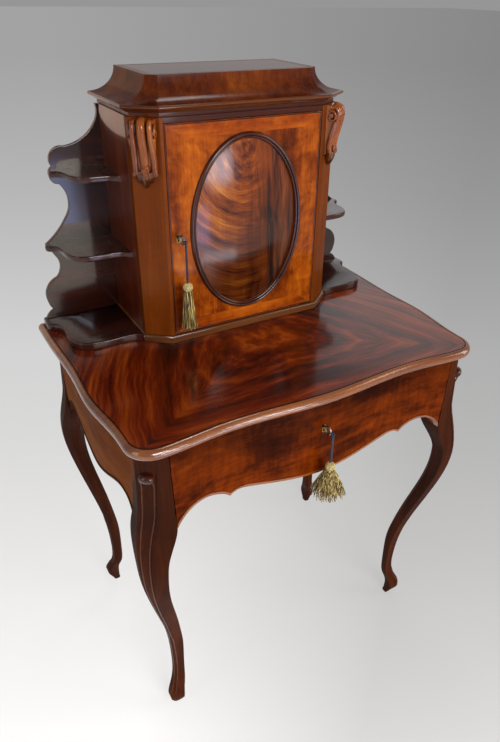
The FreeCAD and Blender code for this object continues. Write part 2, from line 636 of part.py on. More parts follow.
RAIL_FRONT = -FRONT_BACK_FACE + 2.0
RAIL_BACK = RAIL_FRONT + RAIL_DEPTH
BACK_RAIL_FACE = leg_corner(BACK_FOOT, REAR_SWEEP, LEG_STATIONS[-1])[1] - BACK_RAIL_THICK - 3.0
BLOCK_SPAN = leg_corner(FRONT_FOOT, FRONT_SWEEP, LEG_STATIONS[-1])[0]


def top_front_rail(legs):
    rail = block((-BLOCK_SPAN, BLOCK_SPAN), (RAIL_FRONT, RAIL_BACK),
                 (TOP_UNDERSIDE - RAIL_THICK, TOP_UNDERSIDE))
    return fitted(rail.common(carcase_inside(TOP_UNDERSIDE - RAIL_THICK, TOP_UNDERSIDE)), legs)


def drawer_bearer_rail(legs):
    rail = block((-BLOCK_SPAN, BLOCK_SPAN), (RAIL_FRONT, RAIL_BACK),
                 (BEARER_TOP - RAIL_THICK, BEARER_TOP))
    return fitted(rail.common(carcase_inside(BEARER_TOP - RAIL_THICK, BEARER_TOP)), legs)


def back_rail(legs):
    rail = block((-BLOCK_SPAN, BLOCK_SPAN), (BACK_RAIL_FACE, BACK_RAIL_FACE + BACK_RAIL_THICK),
                 (TOP_UNDERSIDE - BACK_RAIL_DEPTH, TOP_UNDERSIDE))
    return fitted(rail, legs)


def side_rails(legs, bottom, top):
    """A bearer on each side, from the front rail to the back rail and out to the apron."""
    inner = DRAWER_SIDE_HALF - DRAWER_SIDE_THICK - 4
    strip = block((inner, TOP_HALF_WIDTH), (RAIL_BACK, BACK_RAIL_FACE), (bottom, top))
    strip = fitted(strip.common(carcase_inside(bottom, top)), legs)
    return strip


def drawer_runner(legs):
    """A runner, and the guide strip glued along its top."""
    inner = DRAWER_SIDE_HALF + GUIDE_GAP
    guide = block((inner, inner + GUIDE_WIDTH), (RAIL_BACK, BACK_RAIL_FACE),
                  (BEARER_TOP, BEARER_TOP + GUIDE_HEIGHT))
    return [side_rails(legs, BEARER_TOP - RAIL_THICK, BEARER_TOP), guide]


# ---------------------------------------------------------------- drawer
def drawer_front_blank():
    """The serpentine board behind the drawer's shaped outline."""
    height = APRON_MIDDLE_HEIGHT - 30
    curve = front_curve(FRIEZE_SETBACK, height)
    right = curve.valueAt(curve.FirstParameter)
    left = curve.valueAt(curve.LastParameter)
    back = -FRONT_BACK_FACE
    plan = extrude([curve,
                    line(tuple(left), (left.x, back, height)),
                    line((left.x, back, height), (right.x, back, height)),
                    line((right.x, back, height), tuple(right))],
                   (0, 0, TOP_UNDERSIDE - height))
    return plan


def drawer_end(side):
    """The drawer front's slightly leaning end, a gap inside the leg, read downwards."""
    points = []
    for station in reversed(LEG_STATIONS[len(CABRIOLE):]):
        z = min(station.height, DRAWER_FRONT_TOP)
        inner = leg_corner(FRONT_FOOT, FRONT_SWEEP, station)[0] - station.side
        points.append((side * (inner - DRAWER_GAP), 0, z))
    return points


def drawer_elevation():
    left_arch, bow, right_arch = front_edges()
    right_points = drawer_end(1)
    left_points = drawer_end(-1)
    ends = [line(upper, lower) for points in (left_points, right_points)
            for upper, lower in zip(points, points[1:])]
    top = line(left_points[0], right_points[0])
    wire = Part.Wire(Part.__sortEdges__([left_arch, bow, right_arch, top] + ends))
    return Part.Face(wire).extrude(Vector(0, -TOP_HALF_DEPTH, 0))


def dovetails(side):
    """The tails on the front end of a drawer side, lapped into the drawer front."""
    low, high = BEARER_TOP + 1.0, DRAWER_SIDE_TOP
    pitch = (high - low) / TAIL_COUNT
    tail_half = pitch * 0.3
    spread = TAIL_LENGTH * DOVETAIL_SLOPE
    outer = DRAWER_SIDE_HALF
    tails = []
    for index in range(TAIL_COUNT):
        middle = low + pitch * (index + 0.5)
        root = -FRONT_BACK_FACE
        tip = root - TAIL_LENGTH
        corners = [Vector(0, root, middle - tail_half), Vector(0, root, middle + tail_half),
                   Vector(0, tip, middle + tail_half + spread),
                   Vector(0, tip, middle - tail_half - spread)]
        face = Part.Face(Part.makePolygon(corners + corners[:1]))
        tail = face.extrude(Vector(DRAWER_SIDE_THICK, 0, 0))
        start = outer - DRAWER_SIDE_THICK if side > 0 else -outer
        tail.translate(Vector(start, 0, 0))
        tails.append(tail)
    return tails


def keyhole(centre, radius, slot, drop, depth):
    """A keyhole's shape, from centre towards the back."""
    x, y, z = centre
    hole = round_bar(centre, (0, 1, 0), radius, depth)
    return hole.fuse(block((x - slot / 2, x + slot / 2), (y, y + depth), (z - drop, z)))


def drawer_lock_room():
    return block((DRAWER_KEY_X - DRAWER_LOCK_HALF_WIDTH, DRAWER_KEY_X + DRAWER_LOCK_HALF_WIDTH),
                 (-FRONT_BACK_FACE - DRAWER_LOCK_DEPTH, -FRONT_BACK_FACE),
                 (DRAWER_KEY_HEIGHT - 12, DRAWER_FRONT_TOP))


def drawer_front_and_bead():
    front = drawer_front_blank().common(drawer_elevation())
    strips = [bead_band(edge, BEAD, (0, -TOP_HALF_DEPTH, 0)) for edge in front_edges()]
    proud_curve = front_curve(FRIEZE_SETBACK - BEAD_PROUD, APRON_MIDDLE_HEIGHT - 30)
    inner_curve = front_curve(FRIEZE_SETBACK + 2 * BEAD, APRON_MIDDLE_HEIGHT - 30)
    ends = [Part.LineSegment(proud_curve.valueAt(at(proud_curve)), inner_curve.valueAt(at(inner_curve)))
            .toShape() for at in (lambda edge: edge.FirstParameter, lambda edge: edge.LastParameter)]
    wall = Part.Face(Part.Wire(Part.__sortEdges__([proud_curve, ends[0], inner_curve, ends[1]])))
    wall = wall.extrude(Vector(0, 0, 2 * ARCH_RISE + 30))
    bead = strips[0].fuse(strips[1:]).common(wall).common(drawer_elevation())
    front = front.cut(bead).cut(drawer_lock_room())
    for side in (-1, 1):
        front = front.cut(dovetails(side))
    x, y, z = DRAWER_KEYHOLE
    front = front.cut(keyhole((x, y - 2, z), KEYHOLE_RADIUS, KEYHOLE_SLOT, KEYHOLE_DROP,
                              DRAWER_FRONT_THICK + 4))
    front = front.cut(lining_blank(DRAWER_KEYHOLE))
    return largest(front), bead


def drawer_side(side):
    low = BEARER_TOP + 0.4
    inner, outer = DRAWER_SIDE_HALF - DRAWER_SIDE_THICK, DRAWER_SIDE_HALF
    x_range = (inner, outer) if side > 0 else (-outer, -inner)
    board = block(x_range, (-FRONT_BACK_FACE, DRAWER_BACK), (low, DRAWER_SIDE_TOP))
    return board.fuse(dovetails(side)).removeSplitter()


def drawer_back():
    half = DRAWER_SIDE_HALF - DRAWER_SIDE_THICK
    return block((-half, half), (DRAWER_BACK - DRAWER_SIDE_THICK, DRAWER_BACK),
                 (BEARER_TOP + BOTTOM_RISE + DRAWER_BOARD, DRAWER_SIDE_TOP - 6))


def drawer_bottom():
    half = DRAWER_SIDE_HALF - DRAWER_SIDE_THICK
    return block((-half, half), (-FRONT_BACK_FACE, DRAWER_BACK),
                 (BEARER_TOP + BOTTOM_RISE, BEARER_TOP + BOTTOM_RISE + DRAWER_BOARD))


# ---------------------------------------------------------------- locks and keys
def lining_blank(centre):
    """The brass lining let into the wood round a keyhole, before its own hole is cut."""
    x, y, z = centre
    margin = LINING_RADIUS - KEYHOLE_RADIUS
    return keyhole((x, y - 2, z), LINING_RADIUS, KEYHOLE_SLOT + 2 * margin, KEYHOLE_DROP + margin, 4.5)


def keyhole_lining(centre, face):
    x, y, z = centre
    hole = keyhole((x, y - 3, z), KEYHOLE_RADIUS, KEYHOLE_SLOT, KEYHOLE_DROP, 12)
    return lining_blank(centre).common(face).cut(hole)


def key(centre, bow, length_inside, bit_range):
    """A small key: shank, collar, round bow and the loop of cord tied round its bow."""
    x, y, z = centre
    bow_y = y - bow
    shank_start = bow_y + BOW_RADIUS
    shank = round_bar((x, shank_start, z), (0, 1, 0), SHANK_RADIUS, y + length_inside - shank_start)
    collar = turned_forward([(0, 0), (3.2, 0.6), (3.2, 1.6), (0, 2.2)], (x, shank_start + 1.0, z))
    ring = Part.makeTorus(BOW_RADIUS, BOW_WIRE, Vector(x, bow_y, z), Vector(1, 0, 0))
    bit = block((x - BIT_THICK / 2, x + BIT_THICK / 2), bit_range, (z - BIT_REACH, z - SHANK_RADIUS / 2))
    body = shank.fuse([collar, ring, bit])
    loop = Part.makeTorus(LOOP_RADIUS, CORD_WIRE, Vector(x, bow_y - BOW_RADIUS, z), Vector(0, 0, 1))
    return Part.makeCompound([body.Solids[0], loop])


def lock_case(x_range, y_range, z_range, openings):
    """A thin-walled box, bored for the key and slotted for the bolt."""
    wall = LOCK_WALL
    inside = block((x_range[0] + wall, x_range[1] - wall), (y_range[0] + wall, y_range[1] - wall),
                   (z_range[0] + wall, z_range[1] - wall))
    return block(x_range, y_range, z_range).cut(inside).cut(openings)


def talon_notch(centre, y_range, travel):
    """The curved notch that the key's bit sweeps through, over the bolt's whole travel."""
    x, z = centre
    radius = math.hypot(BIT_REACH, BIT_THICK / 2) + TALON_CLEARANCE
    depth = y_range[1] - y_range[0] + 2
    start = Vector(x, y_range[0] - 1, z)
    end = start + Vector(*travel)
    first = Part.makeCylinder(radius, depth, start, Vector(0, 1, 0))
    last = Part.makeCylinder(radius, depth, end, Vector(0, 1, 0))
    if abs(travel[0]) > 0:
        low, high = sorted((start.x, end.x))
        between = block((low, high), (start.y, start.y + depth), (z - radius, z + radius))
    else:
        low, high = sorted((start.z, end.z))
        between = block((x - radius, x + radius), (start.y, start.y + depth), (low, high))
    return first.fuse([last, between])


DOOR_LOCK_Y = (DOOR_FACE + DOOR_THICK - DOOR_LOCK_DEPTH, DOOR_FACE + DOOR_THICK)
DOOR_LOCK_X = (-DOOR_HALF_WIDTH, -DOOR_HALF_WIDTH + DOOR_LOCK_LENGTH)
DOOR_LOCK_Z = (DOOR_KEY_HEIGHT - DOOR_LOCK_HALF_HEIGHT, DOOR_KEY_HEIGHT + DOOR_LOCK_HALF_HEIGHT)
DOOR_BOLT_Z = (DOOR_KEY_HEIGHT + 4.0, DOOR_KEY_HEIGHT + 15.0)
DOOR_BOLT_Y = (DOOR_LOCK_Y[0] + 2.5, DOOR_LOCK_Y[1] - 2.5)
DRAWER_LOCK_Y = (-FRONT_BACK_FACE - DRAWER_LOCK_DEPTH, -FRONT_BACK_FACE)


def door_lock_case():
    clear = BOLT_CLEARANCE
    slot = block((-DOOR_HALF_WIDTH - 1, -DOOR_HALF_WIDTH + 3),
                 (DOOR_BOLT_Y[0] - clear, DOOR_BOLT_Y[1] + clear),
                 (DOOR_BOLT_Z[0] - clear, DOOR_BOLT_Z[1] + clear))
    bore = keyhole((DOOR_KEY_X, DOOR_LOCK_Y[0] - 1, DOOR_KEY_HEIGHT), SHANK_RADIUS + SHANK_CLEARANCE,
                   BIT_THICK + 0.6, BIT_REACH + 0.8, LOCK_WALL + 1)
    return lock_case(DOOR_LOCK_X, DOOR_LOCK_Y, DOOR_LOCK_Z, [slot, bore])


def door_lock_bolt():
    bar = block((-DOOR_HALF_WIDTH + 0.2, DOOR_LOCK_X[1] - LOCK_WALL - 0.5), DOOR_BOLT_Y, DOOR_BOLT_Z)
    return bar.cut(talon_notch((DOOR_KEY_X, DOOR_KEY_HEIGHT), DOOR_BOLT_Y, (BOLT_TRAVEL, 0, 0)))


def drawer_lock_case():
    clear = BOLT_CLEARANCE
    slot = block((DRAWER_KEY_X - BOLT_HALF_WIDTH - clear, DRAWER_KEY_X + BOLT_HALF_WIDTH + clear),
                 (BOLT_Y - BOLT_THICK - clear, BOLT_Y + clear),
                 (DRAWER_FRONT_TOP - 3, DRAWER_FRONT_TOP + 1))
    bore = keyhole((DRAWER_KEY_X, DRAWER_LOCK_Y[0] - 1, DRAWER_KEY_HEIGHT), SHANK_RADIUS + SHANK_CLEARANCE,
                   BIT_THICK + 0.6, BIT_REACH + 0.8, LOCK_WALL + 1)
    room = drawer_lock_room().BoundBox
    return lock_case((room.XMin, room.XMax), (room.YMin, room.YMax), (room.ZMin, room.ZMax),
                     [slot, bore])


def drawer_lock_bolt():
    y_range = (BOLT_Y - BOLT_THICK, BOLT_Y)
    bar = block((DRAWER_KEY_X - BOLT_HALF_WIDTH, DRAWER_KEY_X + BOLT_HALF_WIDTH), y_range,
                (DRAWER_KEY_HEIGHT + 4, DRAWER_FRONT_TOP - 0.2))
    return bar.cut(talon_notch((DRAWER_KEY_X, DRAWER_KEY_HEIGHT), y_range, (0, 0, -BOLT_TRAVEL)))


# ---------------------------------------------------------------- cords and tassels
def knot_centre(face_centre, bow):
    """The knot hangs on the key's axis, just ahead of the loop round the bow."""
    x, y, z = face_centre
    return x, y - bow - BOW_REACH - KNOT_GAP - KNOT_RADIUS, z


def key_cord(face_centre, bow, length):
    """The knot on the key's axis, and the doubled cord that hangs from it."""
    x, y, z = knot_centre(face_centre, bow)
    knot = Part.makeSphere(KNOT_RADIUS, Vector(x, y, z))
    cord = round_bar((x, y, z), (0, 0, -1), CORD_RADIUS, length)
    return knot.fuse(cord)


def tassel(face_centre, bow, cord_length, skirt):
    """Head, neck band and skirt of a tassel, hanging plumb under its knot."""
    x, y, z = knot_centre(face_centre, bow)
    top_radius, bottom_radius, length = skirt
    head_top = z - cord_length
    head_centre = head_top - TASSEL_HEAD
    neck = head_centre - TASSEL_HEAD * 0.75
    bottom = neck - length
    profile = [line((x, y, head_top), (x + CORD_RADIUS + 0.5, y, head_top)),
               arc((x + CORD_RADIUS + 0.5, y, head_top), (x + TASSEL_HEAD, y, head_centre),
                   (x + TASSEL_HEAD * 0.62, y, neck)),
               spline([(x + TASSEL_HEAD * 0.62, y, neck),
                       (x + top_radius, y, neck - 0.12 * length),
                       (x + 0.45 * top_radius + 0.55 * bottom_radius, y, neck - 0.55 * length),
                       (x + bottom_radius, y, bottom)], (1, 0, -0.6), (0.2, 0, -1)),
               line((x + bottom_radius, y, bottom), (x, y, bottom)),
               line((x, y, bottom), (x, y, head_top))]
    return Part.Face(Part.Wire(profile)).revolve(Vector(x, y, 0), Vector(0, 0, 1), 360)


# ---------------------------------------------------------------- cupboard carcase
def canted_outline(half_width, face_half, cant_back, face):
    """Corners of a plan with its two front corners cut off, the back being the cupboard's back."""
    back = CUPBOARD_BACK + BACK_THICK
    return [(half_width, back), (half_width, cant_back), (face_half, face),
            (-face_half, face), (-half_width, cant_back), (-half_width, back)]


def cupboard_outline(outset):
    """The cupboard's plan, let out by outset all round its front and sides."""
    cant = math.atan2(CANT_BACK - CUPBOARD_FACE, CUPBOARD_HALF_WIDTH - CUPBOARD_FACE_HALF)
    face_shift = outset * math.tan(cant / 2)
    side_shift = outset * math.tan(math.pi / 4 - cant / 2)
    return canted_outline(CUPBOARD_HALF_WIDTH + outset, CUPBOARD_FACE_HALF + face_shift,
                          CANT_BACK - side_shift, CUPBOARD_FACE - outset)


def cupboard_side():
    post_back = CANT_BACK + SIDE_THICK
    board = block((CUPBOARD_HALF_WIDTH - SIDE_THICK, CUPBOARD_HALF_WIDTH),
                  (post_back, CUPBOARD_BACK), (BASE_TOP, CARCASE_TOP))
    return board.cut(inner_shelf())


def corner_post():
    post_back = CANT_BACK + SIDE_THICK
    face = CUPBOARD_FACE
    corners = [(CUPBOARD_HALF_WIDTH, CANT_BACK), (CUPBOARD_FACE_HALF, face), (POST_INNER, face),
               (POST_INNER, face + POST_DEPTH), (CUPBOARD_HALF_WIDTH - SIDE_THICK, post_back),
               (CUPBOARD_HALF_WIDTH, post_back)]
    return prism(corners, BASE_TOP, CARCASE_TOP)


def door_head_rail():
    face = CUPBOARD_FACE
    return block((-POST_INNER, POST_INNER), (face, face + HEAD_RAIL_THICK),
                 (HEAD_RAIL_BOTTOM, CARCASE_TOP))


def cupboard_top():
    return prism(cupboard_outline(-FRIEZE_INSET), CARCASE_TOP, FRIEZE_TOP)


def cupboard_back():
    half = CUPBOARD_HALF_WIDTH - SIDE_THICK / 2
    return block((-half, half), (CUPBOARD_BACK, CUPBOARD_BACK + BACK_THICK), (BASE_TOP, CARCASE_TOP))


def inner_shelf():
    half = CUPBOARD_HALF_WIDTH - SIDE_THICK + HOUSING
    return block((-half, half), (INNER_SHELF_FRONT, CUPBOARD_BACK),
                 (INNER_SHELF_TOP - INNER_SHELF_THICK, INNER_SHELF_TOP))


# ---------------------------------------------------------------- cornice
def canted_wire(corners, height):
    points = [Vector(x, y, height) for x, y in corners]
    return Part.makePolygon(points + points[:1])


def cornice_lip():
    """The moulded lip under the cove: a hollow below, a quirk and a rounded nose above."""
    profile = [(0, LIP_REACH), (3, 10.5), (7, 9.0), (10, 7.5), (10, 5.0), (13, 1.8), (17, 0.3),
               (21, 0.5), (24, 2.0)]
    wires = []
    for rise, inset in profile:
        height = FRIEZE_TOP + LIP_HEIGHT * rise / 24
        wires.append(canted_wire(cupboard_outline(LIP_REACH - inset), height))
    return Part.makeLoft(wires, True, True)


def blended_outline(share):
    """A plan between the cove's foot (share 0) and the crown (share 1)."""
    low = cupboard_outline(LIP_REACH - 3.0)
    high = canted_outline(CROWN_HALF_WIDTH, CROWN_FACE_HALF, CROWN_CANT_BACK, CROWN_FACE)
    return [(a[0] + (b[0] - a[0]) * share, a[1] + (b[1] - a[1]) * share) for a, b in zip(low, high)]


def cornice_cove():
    """The hollow moulding round the crown, each face a quarter of an ellipse in section."""
    rise = TOTAL_HEIGHT - LIP_TOP
    steps = 9
    wires = []
    for step in range(steps + 1):
        angle = math.pi / 2 * step / steps
        wires.append(canted_wire(blended_outline(math.sin(angle)),
                                 LIP_TOP + rise * (1 - math.cos(angle))))
    return Part.makeLoft(wires, True, False).cut(cornice_top())


def cornice_top():
    """The flat board let in flush between the cove's mitred faces."""
    margin = CROWN_MARGIN
    corners = canted_outline(CROWN_HALF_WIDTH - margin, CROWN_FACE_HALF - 0.6 * margin,
                             CROWN_CANT_BACK + 0.4 * margin, CROWN_FACE + margin)
    corners = [(x, min(y, CUPBOARD_BACK + BACK_THICK - margin)) for x, y in corners]
    return prism(corners, TOTAL_HEIGHT - CROWN_BOARD, TOTAL_HEIGHT)


# ---------------------------------------------------------------- open shelves and fretted backs
def shelf_points(size, back):
    """Free edge of a right-hand shelf, from the back of its ear round to the cupboard's side."""
    wall = CUPBOARD_HALF_WIDTH
    reach, front, ear = wall + size[0], CUPBOARD_BACK - size[1], size[2]
    ear_y = CUPBOARD_BACK - ear
    step_x = reach - SHELF_STEP
    bend_x = step_x - SHELF_BEND
    return [(reach - 1, back), (reach, ear_y + 0.3 * ear), (reach - 3, ear_y), (step_x + 5, ear_y - 4),
            (step_x, ear_y - 11), (step_x - 5, front + 40), (step_x - 0.4 * SHELF_BEND, front + 13),
            (bend_x, front + 1.5), (wall + 26, front), (wall + 12, front - 3.5), (wall, front - 12)]


def drawn_in(points, inset):
    """Points moved to their left, square to the path they mark, the first and last only along it."""
    moved = []
    for index, (x, y) in enumerate(points):
        before = points[max(index - 1, 0)]
        after = points[min(index + 1, len(points) - 1)]
        run_x, run_y = after[0] - before[0], after[1] - before[1]
        length = math.hypot(run_x, run_y)
        moved.append((x + inset * run_y / length, y - inset * run_x / length))
    moved[0] = (moved[0][0], points[0][1])
    moved[-1] = (points[-1][0], moved[-1][1])
    return moved


def shelf_wire(size, height, inset, back):
    """Outline of a right-hand shelf, its free edge drawn in by inset."""
    edge = [Vector(x, y, height) for x, y in drawn_in(shelf_points(size, back), inset)]
    curve = Part.BSplineCurve()
    curve.interpolate(edge)
    corner = Vector(CUPBOARD_HALF_WIDTH, back, height)
    return Part.Wire([curve.toShape(), Part.LineSegment(edge[-1], corner).toShape(),
                      Part.LineSegment(corner, edge[0]).toShape()])


def shelf_board(size, bottom, thickness, back):
    """A right-hand shelf, its free edges rounded above and below."""
    sections = [shelf_wire(size, bottom + rise, inset, back)
                for rise, inset in rounded_profile(thickness, SHELF_EASE)]
    return Part.makeLoft(sections, True, True)


def rounded_profile(thickness, ease):
    """(height, inset) pairs of a board edge rounded above and below."""
    soft = 0.3 * ease
    return [(0.0, ease), (soft, soft), (ease, 0.0), (thickness - ease, 0.0),
            (thickness - soft, soft), (thickness, ease)]


def shelf(size, top):
    return shelf_board(size, top - SHELF_THICK, SHELF_THICK, CUPBOARD_BACK)


def base_board():
    """Cupboard plinth and lowest shelves, moulded all round in one board."""
    bottom, thickness = DESK_HEIGHT - BASE_HOUSING, BASE_THICK + BASE_HOUSING
    wires = [canted_wire(cupboard_outline(BASE_OVERHANG - inset), bottom + rise)
             for rise, inset in rounded_profile(thickness, SHELF_EASE)]
    plinth = Part.makeLoft(wires, True, True)
    wing_board = shelf_board(BASE_SHELF, bottom, thickness, CUPBOARD_BACK + BACK_THICK)
    return plinth.fuse([wing_board, other_side(wing_board)])


WING_EDGE = [                # fretted edge of the right wing from the top: lists of (x, z)
    [(206, 1131), (204.5, 1117), (210, 1101)],
    [(210, 1101), (232, 1078), (270, 1065)],
    [(270, 1065), (291, 1060), (299, 1045)],
    [(299, 1045), (298.5, 1038), (296, 1032)],
    [(296, 1032), (301, 1027), (302, 1015)],
    [(302, 1015), (297, 1004), (288, 1001)],
    [(288, 1001), (275, 975), (285, 937)],
    [(285, 937), (301, 916), (328, 893)],
    [(328, 893), (320, 880), (313, 868)],
    [(313, 868), (307, 846), (316, 826)],
    [(316, 826), (340, 802), (340, 778)],
    [(340, 778), (337, 769), (331, 762)],
    [(331, 762), (343, 753), (348, 745)],
]


def fret_point(drawn):
    """Where a drawn point of the fretted edge comes, once the shelves have their heights and reach."""
    x = CUPBOARD_HALF_WIDTH + (drawn[0] - DRAWN_WALL) * BASE_SHELF[0] / DRAWN_REACH
    z = BASE_TOP + (drawn[1] - DRAWN_SHELF_TOPS[0]) * SHELF_SPACING
    return x, CUPBOARD_BACK, z


def wing():
    """The right-hand fretted back board behind the open shelves."""
    inner = CUPBOARD_HALF_WIDTH - SIDE_THICK / 2
    edges = [arc(*(fret_point(point) for point in bend)) for bend in WING_EDGE]
    top, bottom = fret_point(WING_EDGE[0][0]), fret_point(WING_EDGE[-1][2])
    inner_bottom, inner_top = (inner, CUPBOARD_BACK, bottom[2]), (inner, CUPBOARD_BACK, top[2])
    edges += [line(bottom, inner_bottom), line(inner_bottom, inner_top), line(inner_top, top)]
    return extrude(edges, (0, BACK_THICK, 0))


# ---------------------------------------------------------------- carved scroll brackets
BRACKET_TOP = CARCASE_TOP - 0.5
# projection and drop of points down the scroll, then down the leaf under it
SCROLL_LINE = [(16, -0.5), (23, -5), (25.5, -14), (24, -28), (19, -46), (14, -64), (12, -77)]
LEAF_LINE = [(12, -77), (14, -80), (18, -83)]
LEAF_BACK = [(18, -83), (13, -86), (9.5, -95), (5, -106), (0, -116)]
BRACKET_RIBS = [(-20.0, -9.0, 0.8), (9.0, 20.0, 0.8)]
BRACKET_CORE = (-9.0, 9.0)
BRACKET_EYE = (10.5, -20.0)          # projection and drop of the volutes' eyes
EYE_RADIUS = 4.5
EYE_REACH = 21.5                     # the eyes stand this far from the bracket's middle, on both flanks


def bracket_directions():
    """The middle of the canted corner at the bracket's top, and the directions along and off it."""
    cant = Vector(CANT_WIDTH, CANT_DEPTH, 0)
    cant.normalize()
    middle = Vector((CUPBOARD_HALF_WIDTH + CUPBOARD_FACE_HALF) / 2, (CANT_BACK + CUPBOARD_FACE) / 2,
                    BRACKET_TOP)
    return middle, cant, Vector(cant.y, -cant.x, 0)


def bracket_rib(start, end, share, lines):
    """One upright slice of the bracket on the canted corner, between two distances along it."""
    middle, cant, outward = bracket_directions()
    origin = middle + cant * start
    edges = []
    for points in lines:
        curve = Part.BSplineCurve()
        curve.interpolate([origin + outward * (out * share) + Vector(0, 0, drop)
                           for out, drop in points])
        edges.append(curve.toShape())
    first = edges[0].valueAt(edges[0].FirstParameter)
    last = edges[-1].valueAt(edges[-1].LastParameter)
    foot = Vector(origin.x, origin.y, last.z)
    edges.insert(0, Part.LineSegment(Vector(origin.x, origin.y, first.z), first).toShape())
    if last.distanceToPoint(foot) > 0.01:
        edges.append(Part.LineSegment(last, foot).toShape())
    edges.append(Part.LineSegment(foot, Vector(origin.x, origin.y, first.z)).toShape())
    return Part.Face(Part.Wire(edges)).extrude(cant * (end - start))


def scroll_bracket():
    """The right-hand bracket: a carved core that ends in a leaf, between two side scrolls with eyes."""
    middle, cant, outward = bracket_directions()
    core = bracket_rib(BRACKET_CORE[0], BRACKET_CORE[1], 1.0, [SCROLL_LINE, LEAF_LINE, LEAF_BACK])
    sides = [bracket_rib(start, end, share, [SCROLL_LINE]) for start, end, share in BRACKET_RIBS]
    eye = middle + outward * BRACKET_EYE[0] + Vector(0, 0, BRACKET_EYE[1]) - cant * EYE_REACH
    eyes = round_bar(tuple(eye), tuple(cant), EYE_RADIUS, 2 * EYE_REACH)
    return core.fuse(sides + [eyes])


# ---------------------------------------------------------------- door
def oval(half_width, half_height, y):
    """An upright oval in the plane of the door."""
    middle = Vector(0, y, OVAL_CENTRE_HEIGHT)
    longer, shorter = middle + Vector(0, 0, half_height), middle + Vector(half_width, 0, 0)
    if half_height < half_width:
        longer, shorter = shorter, longer
    return Part.Wire([Part.Ellipse(longer, shorter, middle).toShape()])


def oval_block(half_width, half_height, start, end):
    return Part.Face(oval(half_width, half_height, start)).extrude(Vector(0, end - start, 0))


def door_frame():
    """Two stiles and two rails, mitred where they meet."""
    half, low, high = DOOR_HALF_WIDTH, DOOR_BOTTOM, DOOR_TOP
    inner_x, inner_low, inner_high = half - STILE_WIDTH, low + DOOR_RAIL_WIDTH, high - DOOR_RAIL_WIDTH
    front, depth = DOOR_FACE, DOOR_THICK

    def member(corners):
        points = [Vector(x, front, z) for x, z in corners]
        return Part.Face(Part.makePolygon(points + points[:1])).extrude(Vector(0, depth, 0))

    hinge = member([(half, low), (half, high), (inner_x, inner_high), (inner_x, inner_low)])
    lock = member([(-half, low), (-half, high), (-inner_x, inner_high), (-inner_x, inner_low)])
    top = member([(-half, high), (half, high), (inner_x, inner_high), (-inner_x, inner_high)])
    bottom = member([(-half, low), (half, low), (inner_x, inner_low), (-inner_x, inner_low)])
    return lock, hinge, top, bottom


def door_field():
    inner = DOOR_HALF_WIDTH - STILE_WIDTH
    board = block((-inner, inner), (DOOR_FACE, DOOR_FACE + DOOR_THICK),
                  (DOOR_BOTTOM + DOOR_RAIL_WIDTH, DOOR_TOP - DOOR_RAIL_WIDTH))
    return board.cut(oval_block(OVAL_HALF_WIDTH, OVAL_HALF_HEIGHT, DOOR_FACE - 1,
                                DOOR_FACE + DOOR_THICK + 1))


def oval_panel():
    """A flat oval plate with a shallow dome on its face."""
    plate = oval_block(OVAL_HALF_WIDTH, OVAL_HALF_HEIGHT, DOOR_FACE + 2, DOOR_FACE + 2 + OVAL_PLATE)
    radius = 100.0
    sphere_radius = (radius * radius + OVAL_DOME * OVAL_DOME) / (2 * OVAL_DOME)
    crown = arc((0, -OVAL_DOME, 0),
                (radius / 2, sphere_radius - OVAL_DOME
                 - math.sqrt(sphere_radius ** 2 - radius ** 2 / 4), 0),
                (radius, 0, 0))
    edges = [crown, line((radius, 0, 0), (0, 0, 0)), line((0, 0, 0), (0, -OVAL_DOME, 0))]
    cap = Part.Face(Part.Wire(edges)).revolve(Vector(0, 0, 0), Vector(0, 1, 0), 360)
    stretch = FreeCAD.Matrix()
    stretch.A11 = (OVAL_HALF_WIDTH - 0.5) / radius
    stretch.A33 = (OVAL_HALF_HEIGHT - 0.5) / radius
    cap = cap.transformGeometry(stretch)
    cap.translate(Vector(0, DOOR_FACE + 2, OVAL_CENTRE_HEIGHT))
    return plate.fuse(cap)


def oval_stack(levels):
    """A solid skinned through ovals, given as (grown by, height proud of the door) pairs."""
    wires = [oval(OVAL_HALF_WIDTH + grown, OVAL_HALF_HEIGHT + grown, DOOR_FACE - proud)
             for grown, proud in levels]
    return Part.makeLoft(wires, True, False)


def oval_moulding():
    """A broad bead, a quirk and a narrow bead, planted round the oval."""
    outer = oval_stack([(11.0, 0.0), (10.8, 2.0), (9.8, 4.4), (8.0, 6.0), (6.6, 6.4)])
    hollow = oval_stack([(4.0, 2.6), (4.3, 4.4), (5.2, 5.8), (6.6, 6.4), (6.7, 7.0)])
    inner = oval_stack([(4.4, 0.0), (4.2, 2.2), (3.4, 3.6), (2.2, 4.2)])
    well = oval_stack([(0.0, -0.5), (0.0, 1.5), (0.6, 3.2), (2.2, 4.2), (2.3, 8.0)])
    return outer.cut(hollow).fuse(inner).cut(well)


# ---------------------------------------------------------------- hinges
def pivot_plate(low):
    return block(PLATE_X, PLATE_Y, (low, low + PLATE_THICK))


def pivot_pin(low, high, clearance=0.0):
    return round_bar((PIVOT_X, PIVOT_Y, low), (0, 0, 1), PIVOT_RADIUS + clearance, high - low)


def pivots_case():
    """Plates let into the plinth and the head rail, each with the pin that carries the door."""
    low = pivot_plate(BASE_TOP - PLATE_THICK).fuse(
        pivot_pin(BASE_TOP - PLATE_THICK, DOOR_BOTTOM + PIVOT_DEPTH))
    high = pivot_plate(HEAD_RAIL_BOTTOM).fuse(
        pivot_pin(DOOR_TOP - PIVOT_DEPTH, HEAD_RAIL_BOTTOM + PLATE_THICK))
    return [low, high]


def pivots_door():
    """Bored plates let into the door's bottom and top edges."""
    plates = [pivot_plate(DOOR_BOTTOM), pivot_plate(DOOR_TOP - PLATE_THICK)]
    bore = pivot_pin(DOOR_BOTTOM - 1, DOOR_TOP + 1, PIVOT_CLEARANCE)
    return [plate.cut(bore) for plate in plates]


